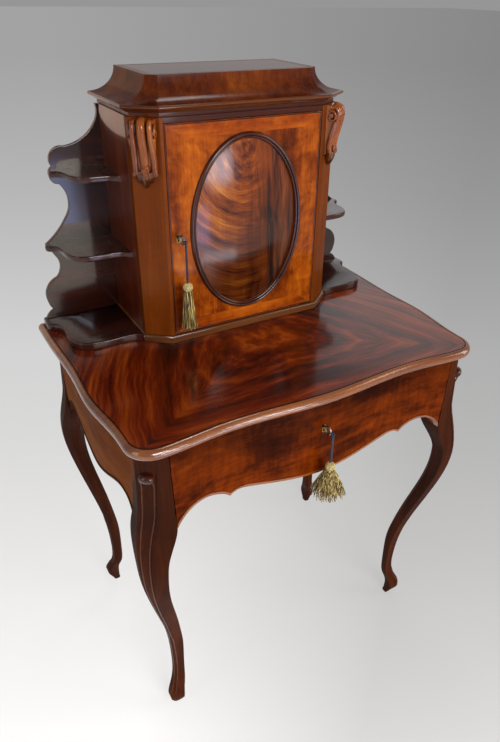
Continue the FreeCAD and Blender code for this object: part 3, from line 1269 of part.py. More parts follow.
def pivot_wells():
    """Holes that the pins' ends turn in, above and below the door's plates."""
    reach = PIVOT_DEPTH + 1
    return [pivot_pin(DOOR_BOTTOM - 1, DOOR_BOTTOM + reach, 0.5),
            pivot_pin(DOOR_TOP - reach, DOOR_TOP + 1, 0.5)]


# ---------------------------------------------------------------- assembly
def build_table():
    front_right = leg(FRONT_FOOT, FRONT_SWEEP)
    back_right = leg(BACK_FOOT, REAR_SWEEP)
    front_left, back_left = other_side(front_right), other_side(back_right)
    legs = [front_right, back_right, front_left, back_left]
    apron, bead = side_apron_and_bead([front_right, back_right])
    runners = drawer_runner(legs)
    kicker = side_rails(legs, TOP_UNDERSIDE - RAIL_THICK, TOP_UNDERSIDE)
    return {
        "desk_top": desk_top(),
        "top_edge_moulding": top_edge_moulding(),
        "leg_front_right": front_right,
        "leg_front_left": front_left,
        "leg_back_right": back_right,
        "leg_back_left": back_left,
        "side_apron_right": apron,
        "side_apron_left": other_side(apron),
        "side_beads": Part.makeCompound(both_sides(bead)),
        "back_rail": back_rail(legs),
        "top_front_rail": top_front_rail(legs),
        "drawer_bearer_rail": drawer_bearer_rail(legs),
        "drawer_runners": Part.makeCompound(runners + [other_side(piece) for piece in runners]),
        "drawer_kickers": Part.makeCompound(both_sides(kicker)),
    }


def build_drawer():
    front, bead = drawer_front_and_bead()
    bit_range = (DRAWER_LOCK_Y[0] + LOCK_WALL + 0.8, DRAWER_LOCK_Y[1] - LOCK_WALL - 0.8)
    lock_depth = DRAWER_LOCK_Y[1] - LOCK_WALL - 0.4 - DRAWER_FACE
    return {
        "drawer_front": front,
        "drawer_bead": bead,
        "drawer_side_right": drawer_side(1),
        "drawer_side_left": drawer_side(-1),
        "drawer_back": drawer_back(),
        "drawer_bottom": drawer_bottom(),
        "drawer_lock_case": drawer_lock_case(),
        "drawer_lock_bolt": drawer_lock_bolt(),
        "drawer_keyhole_lining": keyhole_lining(DRAWER_KEYHOLE, drawer_front_blank()),
        "drawer_key": key(DRAWER_KEYHOLE, DRAWER_BOW, lock_depth, bit_range),
        "drawer_key_cord": key_cord(DRAWER_KEYHOLE, DRAWER_BOW, DRAWER_CORD_LENGTH),
        "drawer_key_tassel": tassel(DRAWER_KEYHOLE, DRAWER_BOW, DRAWER_CORD_LENGTH, DRAWER_SKIRT),
    }


def build_cupboard():
    side = cupboard_side()
    pivots = pivots_case()
    post = corner_post()
    keeper = block((-POST_INNER - BOLT_TRAVEL - 1, -POST_INNER),
                   (DOOR_BOLT_Y[0] - 0.5, DOOR_BOLT_Y[1] + 0.5),
                   (DOOR_BOLT_Z[0] - 0.5, DOOR_BOLT_Z[1] + 0.5))
    middle = shelf(MIDDLE_SHELF, SHELF_TOPS[1])
    upper = shelf(UPPER_SHELF, SHELF_TOPS[2])
    right_wing = wing()
    bracket = scroll_bracket()
    return {
        "base_board": base_board().cut(pivots[0]),
        "cupboard_side_right": side,
        "cupboard_side_left": other_side(side),
        "corner_post_right": post,
        "corner_post_left": other_side(post).cut(keeper),
        "door_head_rail": door_head_rail().cut(pivots[1]),
        "cupboard_top": cupboard_top(),
        "cupboard_back": cupboard_back(),
        "inner_shelf": inner_shelf(),
        "cornice_lip": cornice_lip(),
        "cornice_cove": cornice_cove(),
        "cornice_top": cornice_top(),
        "shelf_middle_right": middle,
        "shelf_middle_left": other_side(middle),
        "shelf_upper_right": upper,
        "shelf_upper_left": other_side(upper),
        "wing_right": right_wing,
        "wing_left": other_side(right_wing),
        "scroll_bracket_right": bracket,
        "scroll_bracket_left": other_side(bracket),
        "pivots_case": Part.makeCompound(pivots),
    }


def build_door():
    lock, hinge, top, bottom = door_frame()
    lock_room = block(DOOR_LOCK_X, DOOR_LOCK_Y, DOOR_LOCK_Z)
    lining_room = lining_blank(DOOR_KEYHOLE)
    hole = keyhole((DOOR_KEY_X, DOOR_FACE - 1, DOOR_KEY_HEIGHT), KEYHOLE_RADIUS, KEYHOLE_SLOT,
                   KEYHOLE_DROP, DOOR_THICK)
    lock_stile = lock.cut(lock_room).cut(lining_room).cut(hole)
    plates = pivots_door()
    sockets = plates + pivot_wells()
    bit_range = (DOOR_LOCK_Y[0] + LOCK_WALL + 0.8, DOOR_LOCK_Y[1] - LOCK_WALL - 0.8)
    lock_depth = DOOR_THICK - LOCK_WALL - 0.4
    return {
        "door_stile_lock": lock_stile,
        "door_stile_hinge": hinge.cut(sockets),
        "door_rails": Part.makeCompound([top.cut(sockets), bottom.cut(sockets)]),
        "pivots_door": Part.makeCompound(plates),
        "door_field": door_field(),
        "oval_panel": oval_panel(),
        "oval_moulding": oval_moulding(),
        "door_lock_case": door_lock_case(),
        "door_lock_bolt": door_lock_bolt(),
        "door_keyhole_lining": keyhole_lining(DOOR_KEYHOLE, lock),
        "door_key": key(DOOR_KEYHOLE, DOOR_BOW, lock_depth, bit_range),
        "door_key_cord": key_cord(DOOR_KEYHOLE, DOOR_BOW, DOOR_CORD_LENGTH),
        "door_key_tassel": tassel(DOOR_KEYHOLE, DOOR_BOW, DOOR_CORD_LENGTH, DOOR_SKIRT),
    }


def main():
    os.makedirs("parts", exist_ok=True)
    pieces = {}
    for group in (build_table(), build_drawer(), build_cupboard(), build_door()):
        pieces.update(group)
    for node, shape in pieces.items():
        write(node, shape)
        box = shape.BoundBox
        print("%-24s solids %d valid %s  x %.1f %.1f  y %.1f %.1f  z %.1f %.1f" % (
            node, len(shape.Solids), shape.isValid(), box.XMin, box.XMax, box.YMin, box.YMax,
            box.ZMin, box.ZMax))


main()
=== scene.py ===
"""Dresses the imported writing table: polished veneers, eased arrises, keys, cords and tassels."""

from __future__ import annotations

import json
import logging
import math
import random
from dataclasses import dataclass
from enum import Enum
from typing import Iterable, Sequence

import bpy
from mathutils import Matrix, Vector

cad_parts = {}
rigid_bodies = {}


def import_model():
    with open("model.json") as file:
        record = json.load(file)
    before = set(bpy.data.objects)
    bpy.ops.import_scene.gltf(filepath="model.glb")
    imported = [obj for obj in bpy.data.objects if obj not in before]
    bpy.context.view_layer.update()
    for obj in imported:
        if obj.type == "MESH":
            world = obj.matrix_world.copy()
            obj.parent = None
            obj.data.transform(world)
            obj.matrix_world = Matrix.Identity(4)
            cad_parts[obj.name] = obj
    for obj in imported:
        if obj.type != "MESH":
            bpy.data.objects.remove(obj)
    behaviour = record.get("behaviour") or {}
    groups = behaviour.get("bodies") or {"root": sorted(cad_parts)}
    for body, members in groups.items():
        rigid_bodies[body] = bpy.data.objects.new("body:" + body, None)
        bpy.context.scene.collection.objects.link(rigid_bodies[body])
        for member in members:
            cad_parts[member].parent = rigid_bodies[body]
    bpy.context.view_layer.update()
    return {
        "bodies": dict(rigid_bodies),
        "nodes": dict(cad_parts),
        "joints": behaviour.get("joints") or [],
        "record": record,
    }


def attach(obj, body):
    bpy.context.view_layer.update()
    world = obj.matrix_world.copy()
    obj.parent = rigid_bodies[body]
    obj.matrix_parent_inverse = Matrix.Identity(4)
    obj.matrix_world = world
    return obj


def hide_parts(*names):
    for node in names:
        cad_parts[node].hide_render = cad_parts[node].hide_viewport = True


LOG = logging.getLogger("writing_table")
UP = Vector((0.0, 0.0, 1.0))
# Points nearer to each other than this become one, as do faces that lean less than this.
WELD = 0.000005
FLAT = math.radians(0.4)
# The share of a turn from one strand to the next, at which no two strands line up.
GOLDEN_TURN = 0.618034
Point = tuple[float, float, float]
Socket = bpy.types.NodeSocket
Piece = bpy.types.Object
Line = list[tuple[Vector, float]]


class Body(Enum):
    """The bodies that added pieces ride on."""

    CASE = "case"
    DOOR = "door"


class Slot(Enum):
    """The record's material slots that added pieces take."""

    MAHOGANY = "mahogany"
    DARK = "mahogany_dark"
    STEEL = "steel"
    CORD = "silk_cord"
    TASSEL = "silk_tassel"


class Grain(Enum):
    """Which way the fibres run, as the turn that brings them along X."""

    ALONG_X = (0.0, 0.0, 0.0)
    ALONG_Y = (0.0, 0.0, math.pi / 2)
    ALONG_Z = (0.0, math.pi / 2, 0.0)


class Figure(Enum):
    """The pattern that the cut of a veneer shows."""

    STRAIGHT = "straight"
    RINGS = "rings"
    MOTTLED = "mottled"
    CROTCH = "crotch"


def linear(colour: str) -> tuple[float, float, float, float]:
    """Turn a written colour into the numbers a shader takes.

    Args:
        colour: Red, green and blue as six hexadecimal digits.

    Returns:
        The linear red, green and blue, with an alpha of 1.
    """
    shares = [int(colour[i:i + 2], 16) / 255 for i in (0, 2, 4)]
    red, green, blue = (s / 12.92 if s < 0.04045 else ((s + 0.055) / 1.055) ** 2.4 for s in shares)
    return red, green, blue, 1.0


def give(thing: object, **settings: object) -> None:
    """Give a thing its settings, by name."""
    for name, value in settings.items():
        setattr(thing, name, value)


# ---------------------------------------------------------------- finishes


class Wiring:
    """Adds nodes to a node tree."""

    def __init__(self, tree: bpy.types.NodeTree) -> None:
        """Keep the tree's nodes and links."""
        self.nodes, self.links = tree.nodes, tree.links

    def feed(self, socket: Socket, value: object) -> None:
        """Wire an input to an output, or set its number, vector or colour.

        Args:
            socket: The input.
            value: What it takes.
        """
        if isinstance(value, bpy.types.NodeSocket):
            self.links.new(value, socket)
        else:
            socket.default_value = value

    def node(self, kind: str, inputs: dict[int | str, object], **settings: object) -> bpy.types.Node:
        """Add a node.

        Args:
            kind: Its type, without the words that all types start with.
            inputs: What its inputs take, by number or name.
            settings: Its other settings.

        Returns:
            The node.
        """
        node = self.nodes.new(f"ShaderNode{kind}")
        give(node, **settings)
        for key, value in inputs.items():
            self.feed(node.inputs[key], value)
        return node

    def maths(self, operation: str, *values: object) -> Socket:
        """Do a sum with numbers."""
        return self.node("Math", dict(enumerate(values)), operation=operation).outputs[0]

    def seen(self) -> Socket:
        """Wire 1 for what is seen straight, mirrored or through glass, and 0 for what only lights.

        Returns:
            The share.
        """
        ray = self.node("LightPath", {}).outputs
        share = self.maths("MAXIMUM", ray["Is Camera Ray"], ray["Is Glossy Ray"])
        return self.maths("MAXIMUM", share, ray["Is Transmission Ray"])


class Bench(Wiring):
    """Wires one material."""

    def __init__(self, name: str) -> None:
        """Start a material with a bare shader.

        Args:
            name: The material's name.
        """
        self.material = bpy.data.materials.new(name)
        self.material.use_nodes = True
        super().__init__(self.material.node_tree)
        self.nodes.clear()
        self.shader = self.node("BsdfPrincipled", {})
        output = self.node("OutputMaterial", {"Surface": self.shader.outputs["BSDF"]})
        self.surface = output.inputs["Surface"]
        self.place = self.along = self.node("TexCoord", {}).outputs["Object"]

    def dress(self, looks: dict[str, object]) -> None:
        """Wire or set the shader's own inputs, by name."""
        for name, value in looks.items():
            self.feed(self.shader.inputs[name], value)

    def weighed(self, *shares: tuple[Socket, object]) -> Socket:
        """Add strengths up, each times its weight.

        Args:
            shares: Each strength and its weight.

        Returns:
            The sum.
        """
        total, *others = (self.maths("MULTIPLY", value, weight) for value, weight in shares)
        for other in others:
            total = self.maths("ADD", total, other)
        return total

    def moved(self, place: Socket, operation: str, value: object) -> Socket:
        """Do a sum with a place and another vector."""
        return self.node("VectorMath", {0: place, 1: value}, operation=operation).outputs[0]

    def parts(self, place: Socket) -> tuple[Socket, Socket, Socket]:
        """Take a place's x, y and z apart."""
        return tuple(self.node("SeparateXYZ", {0: place}).outputs)

    def joined(self, x: object, y: object, z: object) -> Socket:
        """Put x, y and z together to a place."""
        return self.node("CombineXYZ", {0: x, 1: y, 2: z}).outputs[0]

    def turned(self, place: Socket, turn: Point) -> Socket:
        """Turn a place by angles about X, Y and Z."""
        return self.node("Mapping", {"Vector": place, "Rotation": turn}).outputs[0]

    def noise(self, place: Socket, scale: float, detail: float = 3.0, rough: float = 0.55) -> Socket:
        """Read noise of a scale, with so many octaves, the finer ones as strong as rough says."""
        settings = {"Vector": place, "Scale": scale, "Detail": detail, "Roughness": rough}
        return self.node("TexNoise", settings).outputs["Fac"]

    def streaks(self, place: Socket, waves: Point, detail: float = 3.0, rough: float = 0.55) -> Socket:
        """Read noise with so many waves to a metre along X, Y and Z."""
        return self.noise(self.moved(place, "MULTIPLY", waves), 1.0, detail, rough)

    def stray(self, place: Socket, scale: float, reach: float) -> Socket:
        """Let a place wander by noise.

        Args:
            place: The place.
            scale: The noise's scale.
            reach: How far it wanders, in metres.

        Returns:
            The wandering place.
        """
        noise = self.node("TexNoise", {"Vector": place, "Scale": scale, "Detail": 2.0})
        centred = self.moved(noise.outputs["Color"], "SUBTRACT", (0.5, 0.5, 0.5))
        return self.moved(place, "ADD", self.moved(centred, "MULTIPLY", (reach, reach, reach)))

    def span(self, value: Socket, low: float, high: float, to_low: float, to_high: float) -> Socket:
        """Take a number from one range to another, and hold it there."""
        numbers = {0: value, 1: low, 2: high, 3: to_low, 4: to_high}
        return self.node("MapRange", numbers).outputs[0]

    def ramp(self, share: Socket, stops: Sequence[tuple[float, str]]) -> Socket:
        """Turn a strength into a colour.

        Args:
            share: The strength.
            stops: Places and written colours.

        Returns:
            The colour.
        """
        node = self.node("ValToRGB", {"Fac": share})
        bar = node.color_ramp
        for _ in range(len(stops) - 2):
            bar.elements.new(0.5)
        for element, (at, colour) in zip(bar.elements, stops):
            element.position = at
            element.color = linear(colour)
        return node.outputs["Color"]

    def shades(self, share: Socket, colours: str, spread: float, middle: float = 0.5) -> Socket:
        """Turn a strength into one of several colours, evenly spread.

        Args:
            share: The strength.
            colours: The written colours.
            spread: How far apart the first and the last lie.
            middle: The strength half way between them.

        Returns:
            The colour.
        """
        names = colours.split()
        low = middle - spread / 2
        return self.ramp(share, [(low + spread * i / (len(names) - 1), c) for i, c in enumerate(names)])

    def dimmed(self, colour: Socket, level: Socket) -> Socket:
        """Multiply a colour by a level."""
        return self.moved(colour, "MULTIPLY", self.joined(level, level, level))

    def relief(self, height: Socket, strength: float, depth: float) -> None:
        """Let a height show in the shading, at a depth in metres for a height of 1."""
        bump = self.node("Bump", {"Height": height, "Strength": strength, "Distance": depth})
        self.dress({"Normal": bump.outputs[0]})


@dataclass(frozen=True)
class PaintedShade:
    """Painted shade: how a veneer darkens toward one end of its piece, where less light falls.

    Attributes:
        toward: The way in which the painted shade lifts.
        start: How far that way it is darkest, in metres.
        end: How far that way it has its full colour.
        depth: The share of its colour that it has at the start.
        wander: How far the edge strays, in metres.
    """

    toward: Point
    start: float
    end: float
    depth: float
    wander: float = 0.03


@dataclass(frozen=True)
class Recipe:
    """How a finish is made.

    Attributes:
        name: The finish's name.
        colours: Its colours, for wood from darkest to lightest.
    """

    name: str
    colours: str

    def wire(self, bench: Bench) -> None:
        """Wire the finish on its bench, in each kind's own way."""
        raise NotImplementedError

    def material(self) -> bpy.types.Material:
        """Make the finish.

        Returns:
            The material.
        """
        bench = Bench(self.name)
        self.wire(bench)
        return bench.material


@dataclass(frozen=True)
class PolishedWood(Recipe):
    """Mahogany under French polish.

    Attributes:
        grain: Which way the fibres run.
        figure: Its pattern.
        centre: Where rings have their middle.
        stretch: How the rings are drawn out along X, Y and Z.
        seam: For four matched leaves of veneer, where they meet on Y, and their seams' slant.
        stripes: Stripes to a metre.
        wander: How far the stripes stray, in metres.
        contrast: How strongly the figure shows beside the fibres.
        spread: How far apart the darkest and the lightest colour lie; less is bolder.
        painted_shade: Its painted shade toward one end, if it has one.
        crevice_shade: How deep into hollows the painted shade from ambient occlusion reaches, in metres,
            or 0.0 for none.
        rough: The roughness under the polish.
        gleam: How much the wood under the polish reflects.
        coat: The share of clear polish.
        coat_rough: How much the polish blurs what it reflects.
        coat_index: The polish's index of refraction.
        pores: How deep the pores lie in the polish.
    """

    grain: Grain = Grain.ALONG_X
    figure: Figure = Figure.STRAIGHT
    centre: Point = (0.0, 0.0, 0.0)
    stretch: Point = (1.0, 1.0, 1.0)
    seam: tuple[float, float] | None = None
    stripes: float = 20.0
    wander: float = 0.02
    contrast: float = 0.5
    spread: float = 0.36
    painted_shade: PaintedShade | None = None
    crevice_shade: float = 0.0
    rough: float = 0.34
    gleam: float = 0.1
    coat: float = 0.8
    coat_rough: float = 0.1
    coat_index: float = 1.5
    pores: float = 0.1

    def _leaf(self, bench: Bench) -> Socket:
        """Mirror the place between the matched leaves of a veneer.

        Args:
            bench: The material's bench.

        Returns:
            The place in the first leaf.
        """
        start, slant = self.seam
        across, ahead = math.cos(slant), math.sin(slant)
        x, y, z = bench.parts(bench.place)
        x = bench.maths("ABSOLUTE", x)
        front = bench.maths("SUBTRACT", start, y)
        along = bench.weighed((x, across), (front, ahead))
        off = bench.maths("ABSOLUTE", bench.weighed((front, across), (x, -ahead)))
        new_front = bench.weighed((along, ahead), (off, across))
        new_y = bench.maths("SUBTRACT", start, new_front)
        return bench.joined(bench.weighed((along, across), (off, -ahead)), new_y, z)

    def _rings(self, bench: Bench) -> Socket:
        """Wire growth rings that fade in and out along their length.

        Args:
            bench: The material's bench.

        Returns:
            The pattern, from 0 to 1.
        """
        strayed = bench.stray(bench.stray(bench.place, 3.5, self.wander), 14.0, self.wander * 0.28)
        offset = bench.moved(bench.moved(strayed, "SUBTRACT", self.centre), "MULTIPLY", self.stretch)
        radius = bench.node("VectorMath", {0: offset}, operation="LENGTH").outputs["Value"]
        way = bench.node("VectorMath", {0: offset}, operation="NORMALIZE").outputs[0]
        x, y, z = bench.parts(way)
        around = bench.joined(bench.maths("MULTIPLY", radius, self.stripes),
                              bench.maths("MULTIPLY", x, 0.9),
                              bench.maths("MULTIPLY", bench.maths("ADD", y, z), 0.9))
        broad = bench.noise(around, 1.0, 3.0, 0.6)
        fine = bench.streaks(around, (5.5, 4.0, 4.0), 3.0, 0.65)
        return bench.weighed((broad, 0.7), (fine, 0.3))

    def _mottle(self, bench: Bench) -> Socket:
        """Wire short ripples that lie across the grain, in drifting clouds.

        Args:
            bench: The material's bench.

        Returns:
            The pattern, from 0 to 1.
        """
        strayed = bench.stray(bench.stray(bench.along, 7.0, self.wander), 26.0, self.wander * 0.4)
        clouds = bench.streaks(strayed, (8.0, 20.0, 20.0), 6.0, 0.66)
        ripple = bench.streaks(strayed, (self.stripes * 4.0, 22.0, 22.0), 2.0)
        zones = bench.noise(bench.moved(bench.place, "MULTIPLY", (1.0, 1.0, 0.7)), 7.0, 1.0)
        return bench.weighed((clouds, 0.58), (ripple, 0.13), (zones, 0.29))

    def _crotch(self, bench: Bench) -> Socket:
        """Wire the figure from where a branch left the trunk: bows, a dark spine, straight grain.

        Args:
            bench: The material's bench.

        Returns:
            The pattern, from 0 to 1.
        """
        bows = self._rings(bench)
        straight = bench.streaks(bench.stray(bench.along, 5.0, self.wander), (3.0, 64.0, 64.0), 4.0, 0.6)
        x = bench.parts(bench.stray(bench.place, 12.0, 0.05))[0]
        side = bench.span(x, self.centre[0] - 0.012, self.centre[0] + 0.05, 0.0, 1.0)
        mixed = bench.weighed((bows, bench.maths("SUBTRACT", 1.0, side)), (straight, side))
        off_spine = bench.maths("ABSOLUTE", bench.maths("SUBTRACT", x, self.centre[0] + 0.028))
        return bench.maths("SUBTRACT", mixed, bench.span(off_spine, 0.004, 0.05, 0.045, 0.0))

    def _straight(self, bench: Bench) -> Socket:
        """Wire plain stripes along the grain."""
        return bench.streaks(bench.stray(bench.along, 4.0, self.wander), (1.6, self.stripes, self.stripes))

    def wire(self, bench: Bench) -> None:
        """Wire the wood's figure and fibres, its painted shade and its polish.

        Args:
            bench: The material's bench.
        """
        if self.seam:
            bench.place = self._leaf(bench)
        bench.along = bench.turned(bench.place, self.grain.value)
        pattern = {Figure.STRAIGHT: self._straight, Figure.RINGS: self._rings,
                   Figure.MOTTLED: self._mottle, Figure.CROTCH: self._crotch}[self.figure]
        fibres = bench.streaks(bench.along, (9.0, 330.0, 330.0), 4.0, 0.7)
        plain = bench.weighed((fibres, 0.45), (bench.streaks(bench.along, (2.2, 60.0, 60.0)), 0.55))
        share = bench.weighed((pattern(bench), self.contrast), (plain, 1.0 - self.contrast))
        colour = bench.shades(share, self.colours, self.spread)
        # Painted shade: the colour darkens toward one end of the piece.
        if self.painted_shade:
            painted_shade = self.painted_shade
            strayed = bench.stray(bench.place, 5.0, painted_shade.wander)
            reach = bench.node("VectorMath", {0: strayed, 1: painted_shade.toward}, operation="DOT_PRODUCT")
            level = bench.span(reach.outputs["Value"], painted_shade.start, painted_shade.end, painted_shade.depth, 1.0)
            colour = bench.dimmed(colour, level)
        # Painted shade: ambient occlusion darkens the colour in hollows and crevices.
        if self.crevice_shade > 0.0:
            occlusion = bench.node("AmbientOcclusion", {"Distance": self.crevice_shade}, samples=8, only_local=True)
            colour = bench.dimmed(colour, bench.span(occlusion.outputs["AO"], 0.35, 0.85, 0.12, 1.0))
        worn = bench.noise(bench.place, 26.0)
        bench.dress({
            "Base Color": colour,
            "Roughness": bench.span(worn, 0.35, 0.65, self.rough - 0.05, self.rough + 0.07),
            "Specular IOR Level": self.gleam,
            "Coat Weight": self.coat,
            "Coat Roughness": self.coat_rough,
            "Coat IOR": self.coat_index})
        height = bench.maths("ADD", fibres, bench.noise(bench.place, 9.0, 1.0))
        bench.relief(height, self.pores, 0.0006)


@dataclass(frozen=True)
class BareWood(Recipe):
    """Unpolished or waxed wood of the hidden parts.

    Attributes:
        grain: Which way the fibres run.
    """

    grain: Grain = Grain.ALONG_X

    def wire(self, bench: Bench) -> None:
        """Wire the wood's rings and fibres.

        Args:
            bench: The material's bench.
        """
        along = bench.stray(bench.turned(bench.place, self.grain.value), 5.0, 0.012)
        fibres = bench.streaks(along, (8.0, 240.0, 240.0), 4.0, 0.65)
        share = bench.weighed((fibres, 0.5), (bench.streaks(along, (1.2, 34.0, 34.0), 2.0), 0.5))
        bench.dress({"Base Color": bench.shades(share, self.colours, 0.28), "Roughness": 0.62})
        bench.relief(fibres, 0.25, 0.0008)


@dataclass(frozen=True)
class Metal(Recipe):
    """Old metal, with dulled patches of its second colour."""

    def wire(self, bench: Bench) -> None:
        """Wire the metal and its patches.

        Args:
            bench: The material's bench.
        """
        patches = bench.noise(bench.place, 210.0, 5.0, 0.6)
        bench.dress({
            "Base Color": bench.shades(patches, self.colours, 0.26, 0.53),
            "Roughness": bench.span(patches, 0.4, 0.66, 0.24, 0.52),
            "Metallic": 1.0})
        bench.relief(bench.noise(bench.place, 900.0, 2.0), 0.12, 0.0002)


@dataclass(frozen=True)
class Silk(Recipe):
    """Twisted silk.

    Attributes:
        scatter: How fast the colour changes across the strands.
        drawn_out: How much longer than wide a patch of one colour is.
    """

    scatter: float = 420.0
    drawn_out: float = 30.0

    def wire(self, bench: Bench) -> None:
        """Wire the strands' colours and sheen.

        Args:
            bench: The material's bench.
        """
        place = bench.moved(bench.place, "MULTIPLY", (1.0, 1.0, 1.0 / self.drawn_out))
        share = bench.noise(place, self.scatter, 2.0, 0.5)
        bench.dress({
            "Base Color": bench.shades(share, self.colours, 0.28),
            "Roughness": 0.55,
            "Sheen Weight": 0.25,
            "Sheen Roughness": 0.4})
        bench.relief(bench.noise(bench.place, 1500.0, 2.0), 0.3, 0.0003)


class Finish(Enum):
    """The finishes of the table's pieces."""

    DESK = PolishedWood(
        "desk_veneer", "140402 380d04 601c06 8c3a0c ac561a", Grain.ALONG_X, Figure.RINGS,
        (0.17, -0.04, 0.0), (0.5, 1.2, 0.0), (0.0, math.radians(34)), stripes=21.0, wander=0.045,
        contrast=0.88, spread=0.31, rough=0.3, coat=0.75, coat_rough=0.12)
    EDGE = PolishedWood(
        "edge_moulding", "481e06 743a0a 965415", stripes=16.0, spread=0.3, coat=1.0, coat_rough=0.17,
        coat_index=1.8, pores=0.015)
    DOOR = PolishedWood(
        "door_veneer", "300f02 6c2a05 a6500c cc7c1e", Grain.ALONG_Z, Figure.MOTTLED, stripes=18.0,
        wander=0.06, contrast=0.8, spread=0.27, coat=0.35, gleam=0.02)
    DOOR_RAIL = PolishedWood(
        "rail_veneer", "4a1804 883808 b05810 c87622", Grain.ALONG_X, Figure.MOTTLED, stripes=18.0,
        wander=0.06, contrast=0.74, spread=0.3, coat=0.35, gleam=0.02)
    # The oval takes painted shade toward its lower right.
    OVAL = PolishedWood(
        "oval_veneer", "180702 401706 76330a 9e5412 c4822e", Grain.ALONG_Z, Figure.CROTCH,
        (0.0, 0.0, 1.075), (1.0, 0.0, 0.8), stripes=84.0, wander=0.05, contrast=0.84, spread=0.4,
        painted_shade=PaintedShade((-0.6, 0.0, 0.8), 0.715, 0.8, 0.42), coat=0.85, coat_rough=0.13, gleam=0.02)
    POST = PolishedWood(
        "post_veneer", "481e08 6a310a 824313", Grain.ALONG_Z, Figure.MOTTLED, stripes=22.0,
        wander=0.03, coat=0.2, coat_rough=0.2, gleam=0.0)
    # The drawer front takes painted shade toward its top, under the desk top's overhang.
    DRAWER = PolishedWood(
        "drawer_veneer", "1a0702 431604 772e05 9c4e0f", Grain.ALONG_X, Figure.MOTTLED, stripes=26.0,
        wander=0.03, contrast=0.78, spread=0.3, painted_shade=PaintedShade((0.0, 0.0, -1.0), -0.712, -0.6, 0.38),
        coat=0.07, coat_rough=0.2, gleam=0.0)
    SIDE = PolishedWood("cupboard_side", "3a1207 571f0b 743212", Grain.ALONG_Z, stripes=18.0)
    CORNICE = PolishedWood(
        "cornice_veneer", "200a03 431604 622908 804110", Grain.ALONG_Z, Figure.MOTTLED, stripes=12.0,
        wander=0.05, contrast=0.66, spread=0.3, coat=0.4, coat_rough=0.22, gleam=0.0)
    CORNICE_TOP = PolishedWood(
        "cornice_top_veneer", "200a03 431604 622908", stripes=12.0, coat=0.5, coat_rough=0.2,
        gleam=0.0)
    LIP = PolishedWood("lip_wood", "2e1206 4e230a 6e3a12", stripes=12.0)
    LEG = PolishedWood(
        "leg_wood", "1e0a02 3a1605 56280b", Grain.ALONG_Z, stripes=14.0, rough=0.4, coat=0.16,
        coat_rough=0.16, gleam=0.0)
    LEG_BEAD = PolishedWood(
        "leg_bead_wood", "280e04 4a1e08 68300d", Grain.ALONG_Z, stripes=14.0, rough=0.3, coat=0.4,
        coat_rough=0.34)
    # A near-black finish for the line laid as painted shade in the quirk groove.
    STRINGING = PolishedWood("painted_quirk_shade", "0c0402 160804 1e0c06", spread=0.3, coat=0.0)
    APRON = PolishedWood(
        "apron_veneer", "4e220c 7a421c 985a2c", Grain.ALONG_Y, stripes=16.0, spread=0.4, rough=0.6,
        coat=0.0, gleam=0.02)
    # Darker than the other veneers, partly as painted shade under the cornice lip.
    FRIEZE = PolishedWood("frieze_veneer", "200a05 3e1609 5c2610", stripes=14.0, coat=0.3)
    SHELF = PolishedWood(
        "shelf_wood", "1a0908 32140f 4c221a", stripes=16.0, rough=0.3, coat=0.7, coat_rough=0.12)
    WING = PolishedWood("wing_wood", "140606 28100c 401a12", rough=0.36, coat=1.0, gleam=0.0)
    PLINTH = PolishedWood("plinth_wood", "381a0c 583016 744824", stripes=16.0)
    # The carving takes painted shade in its hollows and toward its foot.
    CARVING = PolishedWood(
        "carved_wood", "4a1c08 843f0c b06818", Grain.ALONG_Z, crevice_shade=0.005, rough=0.3, coat=0.9,
        gleam=0.03, painted_shade=PaintedShade((0.0, 0.0, 1.0), 1.034, 1.058, 0.25, 0.003))
    MOULDING = PolishedWood(
        "oval_moulding_wood", "220b06 3c160b 5a2613", Grain.ALONG_Z, rough=0.3)
    LINING = BareWood("drawer_lining", "6b4525 8c6238 a67c4c", Grain.ALONG_Y)
    CARCASE = BareWood("carcase_pine", "4a2f1a 6a4628 835c38")
    BACK = BareWood("back_boards", "3c2414 5a3a20 724e2e", Grain.ALONG_Z)
    BRASS = Metal("old_brass", "b08a3e 5e4520")
    STEEL = Metal("worn_steel", "b4b0a8 4e4a46")
    CORD = Silk("blue_silk", "080a1c 121834 222a4c")
    STRANDS = Silk("gold_silk", "17130c 664f20 a0863e d4c382")
    HEAD = Silk("pale_gold_silk", "8a7436 b7a468 d2c493", 600.0, 1.0)
    BINDING = Silk("dark_silk", "14151c 2e2c24 574a22", 600.0, 1.0)


# ---------------------------------------------------------------- the workshop


def only(piece: Piece) -> None:
    """Select one object alone and make it active.

    Args:
        piece: The object.
    """
    bpy.ops.object.select_all(action="DESELECT")
    piece.select_set(True)
    bpy.context.view_layer.objects.active = piece


def apply_modifiers(piece: Piece) -> None:
    """Apply all of a piece's modifiers.

    Args:
        piece: The piece.
    """
    only(piece)
    for modifier in list(piece.modifiers):
        bpy.ops.object.modifier_apply(modifier=modifier.name)


def apply_place(piece: Piece) -> Piece:
    """Take up a piece's place and turn in its mesh, and select it alone.

    Args:
        piece: The piece.

    Returns:
        The piece.
    """
    only(piece)
    bpy.ops.object.transform_apply(location=True, rotation=True, scale=True)
    return piece


def meshed(name: str, curve: bpy.types.Curve, turn: Point = (0.0, 0.0, 0.0)) -> Piece:
    """Make a mesh object from a curve.

    Args:
        name: The piece's name.
        curve: The curve.
        turn: The piece's turn about X, Y and Z.

    Returns:
        The mesh object, selected alone.
    """
    piece = bpy.data.objects.new(name, curve)
    bpy.context.scene.collection.objects.link(piece)
    piece.rotation_euler = turn
    only(piece)
    bpy.ops.object.convert(target="MESH")
    return bpy.context.active_object


